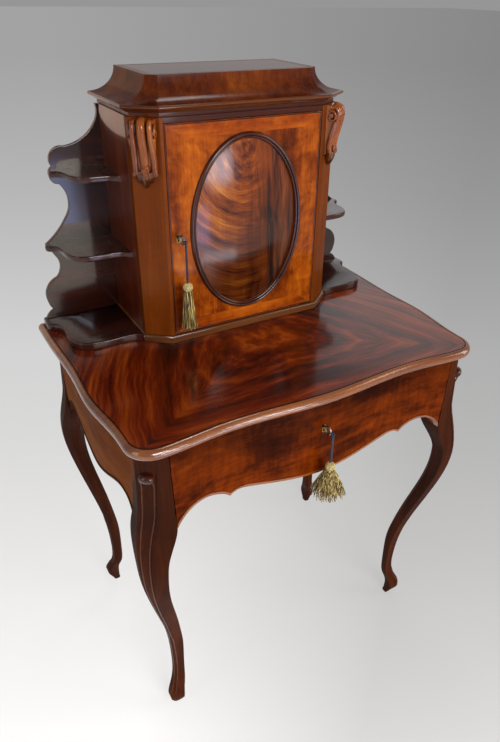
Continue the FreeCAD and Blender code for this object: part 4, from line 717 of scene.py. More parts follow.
def swept(name: str, lines: Sequence[Line], sides: int = 2, curved: bool = False) -> Piece:
    """Sweep round sections along lines as one mesh.

    Args:
        name: The piece's name.
        lines: For each strand its points, each with the section's radius there.
        sides: The fineness of the section.
        curved: Whether a smooth curve runs through the points, in place of straight lines.

    Returns:
        The mesh object, selected alone.
    """
    curve = bpy.data.curves.new(name, "CURVE")
    give(curve, dimensions="3D", bevel_depth=1.0, bevel_resolution=sides, resolution_u=7,
         use_fill_caps=True)
    for line in lines:
        spline = curve.splines.new("BEZIER" if curved else "POLY")
        points = spline.bezier_points if curved else spline.points
        points.add(len(line) - 1)
        for point, (place, radius) in zip(points, line):
            point.co = place if curved else (*place, 1.0)
            point.radius = radius
            if curved:
                point.handle_left_type = point.handle_right_type = "AUTO"
    piece = meshed(name, curve)
    bpy.ops.object.shade_smooth_by_angle(angle=math.radians(50))
    return piece


def ring(centre: Vector, radius: float, thick: float, count: int, turn: Matrix | None = None) -> Line:
    """Lay a closed round line.

    Args:
        centre: Its middle.
        radius: Its radius.
        thick: The radius of its section.
        count: How many points it has.
        turn: How it is turned from level, if it is.

    Returns:
        The line.
    """
    line = []
    for i in range(count + 1):
        angle = 2 * math.pi * i / count
        off = Vector((math.cos(angle), math.sin(angle), 0.0)) * radius
        line.append((centre + (turn @ off if turn else off), thick))
    return line


def join(pieces: Sequence[Piece]) -> Piece:
    """Join pieces to the first of them.

    Args:
        pieces: The pieces.

    Returns:
        The first, which now holds them all.
    """
    bpy.ops.object.select_all(action="DESELECT")
    for piece in pieces:
        piece.select_set(True)
    bpy.context.view_layer.objects.active = pieces[0]
    bpy.ops.object.join()
    return pieces[0]


class Workshop:
    """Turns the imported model's nodes into finished pieces."""

    def __init__(self, frame: dict) -> None:
        """Keep the frame and mix the finishes.

        Args:
            frame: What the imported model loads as.
        """
        record = frame["record"]
        self.nodes = frame["nodes"]
        self.materials = {finish: finish.value.material() for finish in Finish}
        self.body_of = {n: b for b, names in record["behaviour"]["bodies"].items() for n in names}
        self.slot_of = {s["node"]: s["material_slot"] for s in record["subparts"]}

    def polish(self, finish: Finish, *names: str) -> None:
        """Give nodes that show as they are their finish.

        Args:
            finish: The finish.
            names: The nodes.
        """
        for name in names:
            self.nodes[name].data.materials.clear()
            self.nodes[name].data.materials.append(self.materials[finish])
            LOG.info("finished %s", name)

    def copy(self, node: str, name: str) -> Piece:
        """Copy a node's mesh with its loose triangles joined.

        Args:
            node: The node.
            name: The new piece's name.

        Returns:
            The new object, which rides on nothing yet.
        """
        mesh = self.nodes[node].data.copy()
        mesh.name = name
        mesh.materials.clear()
        piece = bpy.data.objects.new(name, mesh)
        bpy.context.scene.collection.objects.link(piece)
        only(piece)
        bpy.ops.mesh.customdata_custom_splitnormals_clear()
        bpy.ops.object.mode_set(mode="EDIT")
        bpy.ops.mesh.select_all(action="SELECT")
        bpy.ops.mesh.remove_doubles(threshold=WELD)
        bpy.ops.mesh.dissolve_limited(angle_limit=FLAT)
        bpy.ops.object.mode_set(mode="OBJECT")
        return piece

    def settle(self, piece: Piece, body: str, slot: str, finish: Finish,
               nodes: Iterable[str] = ()) -> Piece:
        """Finish a piece and hang it on its body.

        Args:
            piece: The piece.
            body: The body it rides on.
            slot: Its material slot; not used.
            finish: Its finish.
            nodes: The nodes it stands for.

        Returns:
            The piece.
        """
        piece.data.materials.clear()
        piece.data.materials.append(self.materials[finish])
        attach(piece, body)
        names = list(nodes)
        if names:
            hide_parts(*names)
        LOG.info("made %s", piece.name)
        return piece

    def eased(self, node: str, finish: Finish, ease: float = 0.0007, sharp: float = 34.0) -> Piece:
        """Make a piece like a node, with its arrises eased as by sanding.

        Args:
            node: The node.
            finish: Its finish.
            ease: The easing's width, in metres.
            sharp: The least angle that counts as an arris, in degrees.

        Returns:
            The piece.
        """
        piece = self.copy(node, f"{node}_eased")
        if ease > 0.0:
            give(piece.modifiers.new("ease", "BEVEL"), width=ease, segments=2, limit_method="ANGLE",
                 angle_limit=math.radians(sharp), use_clamp_overlap=True)
            apply_modifiers(piece)
        bpy.ops.object.shade_smooth_by_angle(angle=math.radians(sharp))
        give(piece.modifiers.new("flat faces stay flat", "WEIGHTED_NORMAL"), weight=100, keep_sharp=True)
        apply_modifiers(piece)
        return self.settle(piece, self.body_of[node], self.slot_of[node], finish, [node])


# ---------------------------------------------------------------- studio


@dataclass
class Studio:
    """Floor, lamps and camera.

    Attributes:
        eye: Where the camera stands.
        azimuth: Its turn about the upright, in degrees.
        elevation: How far it looks down, in degrees.
        roll: Its roll, in degrees.
        focal_pixels: Its focal length in pixels of a picture of that height.
        picture: The picture's width and height.
        middle: The pixel it points at.
        sensor: The height of its sensor, in millimetres.
        floor_half: Half the floor's width.
        ahead: The way in which the floor darkens, along X and Y.
        near: How far before the floor's middle that starts.
        backdrop: The colour of the floor far off and of what is behind it.
        tones: The floor's greys, from far to near.
    """

    eye: Point = (-0.55443, -0.93216, 1.31505)
    azimuth: float = -31.17
    elevation: float = 31.42
    roll: float = 1.32
    focal_pixels: float = 631.74
    picture: tuple[int, int] = (500, 742)
    middle: tuple[float, float] = (264.04, 369.80)
    sensor: float = 36.0
    floor_half: float = 40.0
    ahead: tuple[float, float] = (0.52, 0.855)
    near: float = 1.085
    backdrop: str = "969696"
    tones: tuple[tuple[float, str], ...] = (
        (0.05, "969696"), (0.16, "a8a8a8"), (0.3, "c1c1c1"), (0.5, "d7d7d7"), (0.68, "e6e6e6"),
        (1.0, "f8f8f8"))

    def set_camera(self) -> None:
        """Stand the camera in its place."""
        turn, tip, roll = (math.radians(a) for a in (self.azimuth, self.elevation, self.roll))
        back = Vector((math.sin(turn) * math.cos(tip), -math.cos(turn) * math.cos(tip), math.sin(tip)))
        right = (-back).cross(UP).normalized()
        up = right.cross(-back)
        rolled_right = right * math.cos(roll) + up * math.sin(roll)
        rolled_up = up * math.cos(roll) - right * math.sin(roll)
        bpy.ops.object.camera_add(location=self.eye)
        camera = bpy.context.active_object
        camera.name = "camera"
        turned = Matrix((rolled_right, rolled_up, back)).transposed()
        camera.matrix_world = Matrix.Translation(self.eye) @ turned.to_4x4()
        width, height = self.picture
        give(camera.data, sensor_fit="VERTICAL", sensor_height=self.sensor,
             lens=self.focal_pixels / height * self.sensor, clip_start=0.01, clip_end=60.0,
             shift_x=(width / 2 - self.middle[0]) / height,
             shift_y=(self.middle[1] - height / 2) / height)
        bpy.context.scene.camera = camera

    def lay_floor(self) -> None:
        """Lay the pale floor, which turns into an even backdrop far off."""
        bpy.ops.mesh.primitive_plane_add(size=self.floor_half * 2, location=(0.0, 0.0, 0.0))
        floor = bpy.context.active_object
        floor.name = "floor"
        bench = Bench("floor_paint")
        x, y, _ = bench.parts(bench.place)
        along_x, along_y = self.ahead
        depth = bench.weighed((x, along_x), (y, along_y))
        sideways = bench.weighed((x, along_y), (y, -along_x))
        away = bench.maths("MAXIMUM", bench.maths("ADD", depth, self.near), 0.4)
        share = bench.span(bench.maths("DIVIDE", 1.0, away), 0.0, 1.4, 0.0, 1.0)
        level = bench.span(bench.maths("DIVIDE", sideways, away), -0.32, 0.32, 1.2, 0.8)
        paint = bench.dimmed(bench.ramp(share, self.tones), level)
        bench.dress({"Base Color": paint, "Roughness": 0.9, "Specular IOR Level": 0.0})
        far = bench.maths("MULTIPLY", bench.span(depth, -0.4, 1.2, 0.62, 1.0), bench.seen())
        glow = bench.node("Emission", {"Color": paint})
        lit, own = bench.shader.outputs["BSDF"], glow.outputs[0]
        bench.feed(bench.surface, bench.node("MixShader", {"Fac": far, 1: lit, 2: own}).outputs[0])
        floor.data.materials.append(bench.material)

    def light(self) -> None:
        """Hang the lamps and set the sky."""
        for name, place, aim, size, power, colour in (
                ("window_lamp", (-0.15, -3.0, 2.1), (0.0, 0.0, 0.8), (1.7, 0.95), 70.0, "fff8ec"),
                ("low_card", (0.76, -3.0, 0.92), (0.0, 0.0, 0.9), (0.7, 0.7), 15.0, "eaf2ff"),
                ("floor_card", (0.33, -1.3, 0.05), (-0.05, 0.05, 0.85), (0.5, 0.4), 3.2, "eaf2ff"),
                ("wing_card", (-0.14, -2.15, 0.14), (-0.3, 0.24, 0.95), (0.95, 0.66), 9.0, "b4c6ff"),
                ("left_card", (-0.95, 2.6, 1.35), (-0.2, 0.0, 1.0), (1.4, 1.8), 5.0, "ffc498"),
                ("ceiling_card", (0.6, 0.85, 2.85), (-0.15, 0.07, 1.16), (0.5, 0.3), 6.0, "ffffff"),
                ("side_lamp", (-2.6, -0.6, 1.6), (0.0, 0.0, 0.8), (0.9, 1.6), 8.0, "fff4e4"),
                ("fill_lamp", (2.4, -1.4, 1.7), (0.0, 0.0, 0.7), (1.2, 1.6), 24.0, "fff4e4"),
                ("back_card", (1.9, 2.6, 1.7), (0.0, 0.0, 0.9), (2.6, 1.8), 8.0, "ffffff")):
            bpy.ops.object.light_add(type="AREA", location=place)
            lamp = bpy.context.active_object
            lamp.name = name
            lamp.rotation_euler = (Vector(aim) - Vector(place)).to_track_quat("-Z", "Y").to_euler()
            give(lamp.data, shape="RECTANGLE", size=size[0], size_y=size[1], energy=power,
                 color=linear(colour)[:3])
        world = bpy.data.worlds.new("soft_sky")
        world.use_nodes = True
        wiring = Wiring(world.node_tree)
        sky = wiring.nodes["Background"]
        sky.inputs["Color"].default_value = linear("cccccc")
        sky.inputs["Strength"].default_value = 0.42
        wall = wiring.node("Background", {"Color": linear(self.backdrop)})
        both = wiring.node("MixShader", {"Fac": wiring.seen(), 1: sky.outputs[0], 2: wall.outputs[0]})
        wiring.feed(wiring.nodes["World Output"].inputs["Surface"], both.outputs[0])
        bpy.context.scene.world = world

    def build(self) -> None:
        """Set up the whole studio."""
        self.set_camera()
        self.lay_floor()
        self.light()
        bpy.context.scene.view_settings.view_transform = "Standard"


# ---------------------------------------------------------------- keys, cords and tassels


@dataclass
class HangingTassel:
    """A key's silk cord and the tassel on it.

    Attributes:
        shop: The workshop.
        name: "door" or "drawer".
        knot: The cord's top, in the middle of its knot.
        length: The cord's length.
        skirt: Radii of the skirt at its neck, middle and foot.
        drop: The skirt's length.
        strands: How many strands the skirt has.
        seed: The seed of its unevenness.
        cord_radius: The cord's radius.
        lay: How far out the cord's two strands lie and how thick they are, in shares of that.
        pitch: How far down the cord its strands go round once.
        knot_radius: The knot's radius.
        wrap_radius: The radius of the line that the knot is tied in.
        head_radius: The radius of the ball over the skirt.
        winding_radius: The radius of a winding on the ball.
        strand_radius: The radius of the skirt's strands at their top, and of their binding.
        taper: The share of its radius that a strand loses toward its foot.
    """

    shop: Workshop
    name: str
    knot: Point
    length: float
    skirt: tuple[float, float, float]
    drop: float
    strands: int
    seed: int
    cord_radius: float = 0.0023
    lay: tuple[float, float] = (0.48, 0.54)
    pitch: float = 0.0085
    knot_radius: float = 0.0030
    wrap_radius: float = 0.00085
    head_radius: float = 0.0086
    winding_radius: float = 0.0007
    strand_radius: float = 0.0008
    taper: float = 0.25

    @property
    def foot(self) -> Vector:
        """The cord's lower end, on the tassel's head."""
        return Vector(self.knot) - UP * self.length

    def route(self) -> list[Vector]:
        """Lay the cord's line.

        Returns:
            Points along its smooth line, from the knot down.
        """
        curve = bpy.data.curves.new(f"{self.name}_route", "CURVE")
        curve.dimensions = "3D"
        spline = curve.splines.new("NURBS")
        heights = (0.0, 0.25, 0.5, 0.75, 1.0)
        spline.points.add(len(heights) - 1)
        for point, share in zip(spline.points, heights):
            point.co = (*Vector(self.knot).lerp(self.foot, share), 1.0)
        spline.order_u = 3
        spline.use_endpoint_u = True
        holder = bpy.data.objects.new(f"{self.name}_route", curve)
        line = bpy.data.meshes.new_from_object(holder)
        places = [v.co.copy() for v in line.vertices]
        bpy.data.meshes.remove(line)
        bpy.data.objects.remove(holder)
        bpy.data.curves.remove(curve)
        return places

    def cord(self, places: list[Vector], count: int = 60) -> Piece:
        """Twist two strands about the cord's line.

        Args:
            places: The line's points.
            count: How many parts a strand is drawn in.

        Returns:
            The cord.
        """
        reach, radius = (self.cord_radius * share for share in self.lay)
        strands = []
        for phase in (0.0, math.pi):
            line = []
            for i in range(count + 1):
                angle = phase + 2 * math.pi * (i / count) * self.length / self.pitch
                off = Vector((math.cos(angle), math.sin(angle), 0.0)) * reach
                line.append((places[0].lerp(places[-1], i / count) + off, radius))
            strands.append(line)
        return swept(f"{self.name}_silk_cord", strands, 3)

    def knot_wraps(self, count: int = 96) -> Piece:
        """Tie the knot at the cord's top.

        Args:
            count: How many parts its line is drawn in.

        Returns:
            The knot.
        """
        line = []
        for i in range(count + 1):
            angle = 2 * math.pi * i / count
            around = self.knot_radius * (0.62 + 0.2 * math.cos(3 * angle))
            place = Vector((around * math.cos(2 * angle), around * math.sin(2 * angle),
                            self.knot_radius * 0.55 * math.sin(3 * angle)))
            line.append((Vector(self.knot) + place, self.wrap_radius))
        return swept(f"{self.name}_cord_knot", [line])

    def head(self, count: int = 15, tilt: float = 58.0) -> Piece:
        """Wind the ball that heads the tassel.

        Args:
            count: How many windings it has.
            tilt: How far each leans, in degrees, one way and the other by turns.

        Returns:
            The head, with its windings modelled.
        """
        centre = self.foot - UP * self.head_radius
        bpy.ops.mesh.primitive_uv_sphere_add(segments=36, ring_count=24, location=centre,
                                             radius=self.head_radius * 0.93)
        ball = apply_place(bpy.context.active_object)
        windings = []
        for k in range(count):
            lean = Matrix.Rotation(math.radians(tilt if k % 2 else -tilt), 3, "X")
            turn = Matrix.Rotation(2 * math.pi * k / count, 3, "Z") @ lean
            windings.append(ring(centre, self.head_radius * 0.95, self.winding_radius, 32, turn))
        wound = join([swept(f"{self.name}_tassel_head", windings, 1), ball])
        bpy.ops.object.shade_smooth_by_angle(angle=math.radians(60))
        return wound

    def neck(self, count: int = 4, step: float = 0.0011) -> Piece:
        """Bind the strands under the head.

        Args:
            count: How many times the binding goes round.
            step: How far one round lies below the next.

        Returns:
            The binding.
        """
        top = self.foot - UP * (self.head_radius * 1.82)
        rings = [ring(top - UP * (step * k), self.skirt[0] * 0.98, self.strand_radius, 28)
                 for k in range(count)]
        return swept(f"{self.name}_tassel_neck", rings, 1)

    def skirt_strands(self, steps: int = 9) -> Piece:
        """Hang the strands of the skirt.

        Args:
            steps: How many parts a strand is drawn in.

        Returns:
            All the strands as one mesh.
        """
        draw = random.Random(self.seed)
        top = self.foot - UP * (self.head_radius * 1.7)
        neck, middle, foot = self.skirt
        lines = []
        for k in range(self.strands):
            angle = 2 * math.pi * (k * GOLDEN_TURN + draw.uniform(-0.01, 0.01))
            share = math.sqrt((k + 0.5) / self.strands)
            long = self.drop * draw.uniform(0.93, 1.0)
            lean = draw.uniform(-0.22, 0.22)
            curl = draw.uniform(0.9, 1.04)
            line = []
            for i in range(steps + 1):
                t = i / steps
                spread = (1 - t) ** 2 * neck + 2 * t * (1 - t) * middle + t * t * foot * curl
                bearing = angle + lean * t + 0.05 * math.sin(9 * t + k)
                off = Vector((math.cos(bearing), math.sin(bearing), 0.0)) * (spread * share)
                line.append((top + off - UP * (long * t), self.strand_radius * (1.0 - self.taper * t)))
            lines.append(line)
        return swept(f"{self.name}_tassel_skirt", lines, 1)

    def build(self) -> None:
        """Make the cord, the knot and the tassel."""
        body, settle = f"{self.name}_tassel", self.shop.settle
        places = self.route()
        cord = settle(self.cord(places), body, Slot.CORD.value, Finish.CORD, [f"{self.name}_key_cord"])
        knot = settle(self.knot_wraps(), body, Slot.CORD.value, Finish.CORD)
        head = settle(self.head(), body, Slot.TASSEL.value, Finish.HEAD)
        neck = settle(self.neck(), body, Slot.TASSEL.value, Finish.BINDING)
        skirt = settle(self.skirt_strands(), body, Slot.TASSEL.value, Finish.STRANDS,
                       [f"{self.name}_key_tassel"])


@dataclass
class LockAndKey:
    """A key with the silk loop through its bow, and the lock it turns in.

    Attributes:
        shop: The workshop.
        name: "door" or "drawer".
    """

    shop: Workshop
    name: str

    def build(self) -> None:
        """Part the key from its loop and finish both and the lock."""
        node = f"{self.name}_key"
        self.shop.copy(node, f"{self.name}_steel_key")
        bpy.ops.object.mode_set(mode="EDIT")
        bpy.ops.mesh.separate(type="LOOSE")
        bpy.ops.object.mode_set(mode="OBJECT")
        halves = sorted(bpy.context.selected_objects, key=lambda o: min(v.co.y for v in o.data.vertices))
        loop, key = halves[0], halves[-1]
        loop.name, key.name = f"{self.name}_cord_loop", f"{self.name}_steel_key"
        for piece, slot, finish, nodes in ((key, Slot.STEEL, Finish.STEEL, [node]),
                                           (loop, Slot.CORD, Finish.CORD, [])):
            only(piece)
            bpy.ops.object.shade_smooth_by_angle(angle=math.radians(40))
            self.shop.settle(piece, node, slot.value, finish, nodes)
        self.shop.eased(f"{self.name}_lock_case", Finish.BRASS, 0.0004)
        self.shop.polish(Finish.STEEL, f"{self.name}_lock_bolt")
        self.shop.polish(Finish.BRASS, f"{self.name}_keyhole_lining")


# ---------------------------------------------------------------- joinery


@dataclass
class Leg:
    """A cabriole leg, with beads along its ridge that start from a scroll on the knee.

    Attributes:
        shop: The workshop.
        corner: Which leg it is.
        side: 1.0 for the right-hand side, -1.0 for the left.
        front: -1.0 for the front, 1.0 for the back.
        foot: The height at which the beads run out.
        flat: How far the ridge's edges may lie behind its outermost point.
        bead_radii: A bead's radius at the foot and at the scroll.
        scroll: The height of the scroll's middle.
        scroll_radius: The scroll's radius.
        swell: How thick the scroll is along its half length, as places and shares of its radius.
        coil_radius: The radius of the line that coils on the scroll's ends.
        steps: How many parts a bead is drawn in.
    """

    shop: Workshop
    corner: str
    side: float
    front: float
    foot: float = 0.03
    flat: float = 0.0004
    bead_radii: tuple[float, float] = (0.0008, 0.0014)
    scroll: float = 0.668
    scroll_radius: float = 0.0078
    swell: tuple[tuple[float, float], ...] = (
        (-1.0, 0.72), (-0.8, 0.9), (-0.4, 1.04), (0.0, 1.1), (0.4, 1.04), (0.8, 0.9), (1.0, 0.72))
    coil_radius: float = 0.0009
    steps: int = 36

    @property
    def outward(self) -> Vector:
        """The way that the leg's outer corner points."""
        return Vector((self.side, self.front, 0.0)).normalized()

    def crest(self, level: float) -> tuple[Vector, Vector]:
        """Find both edges of the ridge at one height.

        Args:
            level: The height.

        Returns:
            The edge on either hand.
        """
        outward = self.outward
        across = Vector((-outward.y, outward.x, 0.0))
        mesh = self.shop.nodes[f"leg_{self.corner}"].data
        cuts = []
        for edge in mesh.edges:
            low, high = (mesh.vertices[i].co for i in edge.vertices)
            if (low.z - level) * (high.z - level) < 0.0:
                cuts.append(low.lerp(high, (level - low.z) / (high.z - low.z)))
        furthest = max(p.dot(outward) for p in cuts) - self.flat
        ridge = sorted((p for p in cuts if p.dot(outward) > furthest), key=lambda p: p.dot(across))
        return ridge[0], ridge[-1]

    def beads(self) -> Piece:
        """Run a bead down each edge of the ridge.

        Returns:
            Both beads.
        """
        lines = ([], [])
        thin, thick = self.bead_radii
        for k in range(self.steps + 1):
            share = k / self.steps
            for line, place in zip(lines, self.crest(self.foot + (self.scroll - self.foot) * share)):
                line.append((place, thin + (thick - thin) * share))
        return swept(f"leg_{self.corner}_beads", lines, 3)

    def knee_scroll(self) -> Piece:
        """Carve the roll across the top of the ridge, with a coil and an eye at each end.

        Returns:
            The scroll.
        """
        left, right = self.crest(self.scroll - 0.03)
        middle = (left + right) / 2 + self.outward * 0.0012
        middle.z = self.scroll
        along = (right - left).normalized()
        half = (right - left).length / 2
        lines = [[(middle + along * (half * at), self.scroll_radius * share) for at, share in self.swell]]
        for end in (-1.0, 1.0):
            face = middle + along * (half * end)
            coil = []
            for i in range(22):
                angle = math.radians(40.0 * i)
                reach = self.scroll_radius * (0.7 - 0.026 * i)
                off = self.outward * (reach * math.cos(angle)) + UP * (reach * math.sin(angle))
                coil.append((face + off, self.coil_radius))
            lines += [coil, [(face, 0.0016), (face + along * (0.0014 * end), 0.0012)]]
        return swept(f"leg_{self.corner}_scroll", lines, 6)

    def build(self) -> None:
        """Finish the leg and lay its carving on."""
        self.shop.eased(f"leg_{self.corner}", Finish.LEG, 0.0018, 30.0)
        for piece, finish in ((self.beads(), Finish.LEG_BEAD), (self.knee_scroll(), Finish.MOULDING)):
            self.shop.settle(piece, Body.CASE.value, Slot.MAHOGANY.value, finish)


@dataclass
class Table:
    """The desk, its legs, aprons and rails.

    Attributes:
        shop: The workshop.
        height: The height of the veneer's edge, just under the desk's.
        slope: How far under that edge the middles of the moulding's slope lie.
        line_radius: The radius of the dark line along the edge.
    """

    shop: Workshop
    height: float = 0.72995
    slope: float = 0.00095
    line_radius: float = 0.0008

    def quirk_shade_line(self) -> Piece:
        """Lay the thin dark line between the veneer and the edge moulding, as painted shade in the quirk
        groove there.

        Returns:
            The line.
        """
        line = self.shop.copy("desk_top", "desk_stringing")
        mesh = line.data
        bpy.ops.object.mode_set(mode="EDIT")
        bpy.ops.mesh.select_mode(type="EDGE")
        bpy.ops.mesh.select_all(action="DESELECT")
        bpy.ops.object.mode_set(mode="OBJECT")
        slopes = [p for p in mesh.polygons
                  if 0.5 < p.normal.z < 0.85 and p.center.z > self.height - self.slope]
        crest = {tuple(sorted(pair)) for p in slopes for pair in p.edge_keys
                 if all(mesh.vertices[i].co.z > self.height for i in pair)}
        for edge in mesh.edges:
            edge.select = tuple(sorted(edge.vertices)) not in crest
        bpy.ops.object.mode_set(mode="EDIT")
        bpy.ops.mesh.delete(type="EDGE")
        bpy.ops.object.mode_set(mode="OBJECT")
        bpy.ops.object.convert(target="CURVE")
        line = bpy.context.active_object
        line.data.bevel_depth = self.line_radius
        line.data.bevel_resolution = 2
        line.location.z = -self.line_radius / 2
        bpy.ops.object.convert(target="MESH")
        line = apply_place(bpy.context.active_object)
        bpy.ops.object.shade_smooth()
        return line

    def build(self) -> None:
        """Finish the table."""
        self.shop.eased("desk_top", Finish.DESK, 0.0008)
        # A dark line laid as painted shade in the quirk between the veneer and the moulding.
        self.shop.settle(self.quirk_shade_line(), Body.CASE.value, Slot.DARK.value, Finish.STRINGING)
        self.shop.eased("top_edge_moulding", Finish.EDGE, 0.0)
        for depth, front in (("front", -1.0), ("back", 1.0)):
            for hand, side in (("left", -1.0), ("right", 1.0)):
                Leg(self.shop, f"{depth}_{hand}", side, front).build()
        for side in ("left", "right"):
            self.shop.eased(f"side_apron_{side}", Finish.APRON, 0.0006)
        self.shop.eased("side_beads", Finish.LEG, 0.0003)
        self.shop.polish(Finish.CARCASE, "back_rail", "top_front_rail", "drawer_bearer_rail",
                         "drawer_runners", "drawer_kickers")


@dataclass
class Drawer:
    """The frieze drawer.

    Attributes:
        shop: The workshop.
    """

    shop: Workshop

    def build(self) -> None:
        """Finish the drawer."""
        self.shop.eased("drawer_front", Finish.DRAWER, 0.0006)
        self.shop.eased("drawer_bead", Finish.EDGE, 0.0003)
        self.shop.polish(Finish.LINING, "drawer_side_left", "drawer_side_right", "drawer_back",
                         "drawer_bottom")


@dataclass
class CarvedBracket:
    """A scroll bracket carved in the round on a canted corner.

    Attributes:
        shop: The workshop.
        side: 1.0 for the right-hand corner, -1.0 for the left-hand one.
        top: The middle of the canted corner at the bracket's top, on the right-hand side.
        outward: The way the right-hand corner faces.
        crest: How far out and how far down the crest of the scroll runs, in millimetres.
        flank: How far from the middle the flanks' coils lie, in millimetres.
        ground: Half the width of the wood behind the reeds, in metres.
        grain: The size to which the carving is worked in one piece, in metres.
    """

    shop: Workshop
    side: float
    top: Point = (0.181, 0.0709, 1.1314)
    outward: Point = (0.58125, -0.81373, 0.0)
    crest: tuple[tuple[float, float], ...] = (
        (13.0, -2.0), (21.0, -4.5), (25.6, -13.0), (24.6, -27.0), (20.0, -45.0), (15.5, -62.0),
        (13.5, -75.0))
    flank: float = 20.52
    ground: float = 0.0205
    grain: float = 0.0007

    def _at(self, out: float, along: float, drop: float, radius: float) -> tuple[Vector, float]:
        """Find a point out from the corner, along it to the door and down, all in millimetres."""
        return Vector((out, -self.side * along, drop)) / 1000.0, radius / 1000.0

    def _reed(self, along: Sequence[float], radii: Sequence[float], share: float) -> Line:
        """Lay one reed of the scroll inside its crest."""
        return [self._at(out * share - radius, across, drop, radius)
                for (out, drop), across, radius in zip(self.crest, along, radii)]

    def _reeds(self) -> Piece:
        """Carve the broad reed and the narrow one on either side of it, whose tips curl outward.

        Returns:
            The reeds.
        """
        lines = [self._reed((0.0,) * 7, (6.2, 7.4, 7.8, 7.9, 8.2, 8.6, 8.0), 1.0)]
        for hand in (1.0, -1.0):
            across = [hand * reach for reach in (12.4, 13.4, 13.8, 14.2, 14.8, 15.6, 15.4)]
            reed = self._reed(across, (3.4, 3.9, 4.1, 4.3, 4.7, 5.2, 5.0), 0.95)
            for out, reach, drop, radius in ((9.5, 16.0, -82.5, 4.4), (9.5, 17.4, -87.5, 3.4),
                                             (11.0, 19.8, -86.0, 2.2), (11.5, 19.6, -83.0, 1.4)):
                reed.append(self._at(out, hand * reach, drop, radius))
            lines.append(reed)
        return swept("bracket_reeds", lines, 4, curved=True)

    def _volute(self) -> Piece:
        """Carve the volute that the broad reed ends in, with its eye.

        Returns:
            The volute.
        """
        coil = []
        for i in range(17):
            angle = math.radians(100.0 - 30.0 * i)
            reach = 7.4 - 0.36 * i
            coil.append(self._at(13.0 + 0.18 * i, reach * math.cos(angle),
                                 -78.0 + reach * math.sin(angle), 2.2 - 0.05 * i))
        eye = [self._at(11.0, 0.0, -78.0, 4.0), self._at(17.2, 0.0, -78.0, 3.0)]
        return swept("bracket_volute", [coil, eye], 4, curved=True)

    def _flanks(self) -> Piece:
        """Carve the coils on both flanks, with their eyes and the fillets that trail from them.

        Returns:
            Both flanks' carving.
        """
        lines = []
        for hand in (1.0, -1.0):
            reach = hand * self.flank
            coil = []
            for i in range(15):
                angle = math.radians(118 - 30 * i)
                size = 8.8 - 0.42 * i
                coil.append(self._at(11.0 + size * math.cos(angle), reach,
                                     -19.0 + size * 1.15 * math.sin(angle), 2.1 - 0.05 * i))
            eye = [self._at(10.8, hand * 17.1, -19.0, 3.0), self._at(10.8, hand * 22.344, -19.0, 2.6)]
            trail = [self._at(out, reach * (1.0 + 0.005 * (drop + 27.0)), drop, radius)
                     for out, drop, radius in ((18.0, -27.0, 2.0), (14.5, -37.0, 2.3), (10.0, -50.0, 2.2),
                                               (6.0, -63.0, 1.8), (3.0, -75.0, 1.0))]
            lines += [coil, eye, trail]
        return swept("bracket_flanks", lines, 3, curved=True)

    def _leaf(self) -> Piece:
        """Carve the leaf that ends the bracket, in three lobes.

        Returns:
            The leaf.
        """
        middle = ((9.0, -82.0, 6.4), (8.8, -90.0, 6.8), (6.6, -97.0, 6.4), (4.2, -103.0, 5.6),
                  (2.4, -107.0, 4.6))
        lobe = ((6.4, -81.0, 5.4), (6.4, -88.0, 5.8), (4.6, -94.0, 5.2), (2.8, -99.0, 4.2))
        lines = [[self._at(out, 0.0, drop, radius) for out, drop, radius in middle]]
        for hand in (1.0, -1.0):
            lines.append([self._at(out, hand * (10.5 + 0.14 * (drop + 82.0)), drop, radius)
                          for out, drop, radius in lobe])
        return swept("bracket_leaf", lines, 4, curved=True)

    def _ground(self) -> Piece:
        """Fill the scroll behind its reeds, narrower toward the foot and the crest.

        Returns:
            The filling.
        """
        curve = bpy.data.curves.new("bracket_ground", "CURVE")
        give(curve, dimensions="2D", fill_mode="BOTH", extrude=self.ground)
        spline = curve.splines.new("POLY")
        edge = [(-1.0, -0.4)] + [(out * 0.7 - 1.0, drop) for out, drop in self.crest]
        edge += [(6.0, -84.0), (-1.0, -90.0)]
        spline.points.add(len(edge) - 1)
        for point, (out, drop) in zip(spline.points, edge):
            point.co = (out / 1000.0, drop / 1000.0, 0.0, 1.0)
        spline.use_cyclic_u = True
        ground = apply_place(meshed("bracket_ground", curve, (math.pi / 2, 0.0, 0.0)))
        for vertex in ground.data.vertices:
            foot = 1.0 - 0.25 * min(1.0, -vertex.co.z / 0.085)
            vertex.co.y *= foot * (1.0 - 16.0 * vertex.co.x)
        return ground

    def build(self) -> None:
        """Carve the bracket in one piece and set it on its corner."""
        hand = "right" if self.side > 0 else "left"
        piece = join([self._reeds(), self._volute(), self._flanks(), self._leaf(), self._ground()])
        piece.name = f"carved_bracket_{hand}"
        give(piece.modifiers.new("carve", "REMESH"), mode="VOXEL", voxel_size=self.grain)
        give(piece.modifiers.new("soften", "SMOOTH"), factor=0.5, iterations=3)
        give(piece.modifiers.new("thin", "DECIMATE"), ratio=0.3)
        apply_modifiers(piece)
        outward = Vector((self.outward[0] * self.side, self.outward[1], 0.0))
        turned = Matrix((outward, UP.cross(outward), UP)).transposed()
        origin = Vector((self.top[0] * self.side, self.top[1], self.top[2]))
        piece.matrix_world = Matrix.Translation(origin) @ turned.to_4x4()
        apply_place(piece)
        bpy.ops.object.shade_smooth()
        node = f"scroll_bracket_{hand}"
        self.shop.settle(piece, Body.CASE.value, self.shop.slot_of[node], Finish.CARVING, [node])


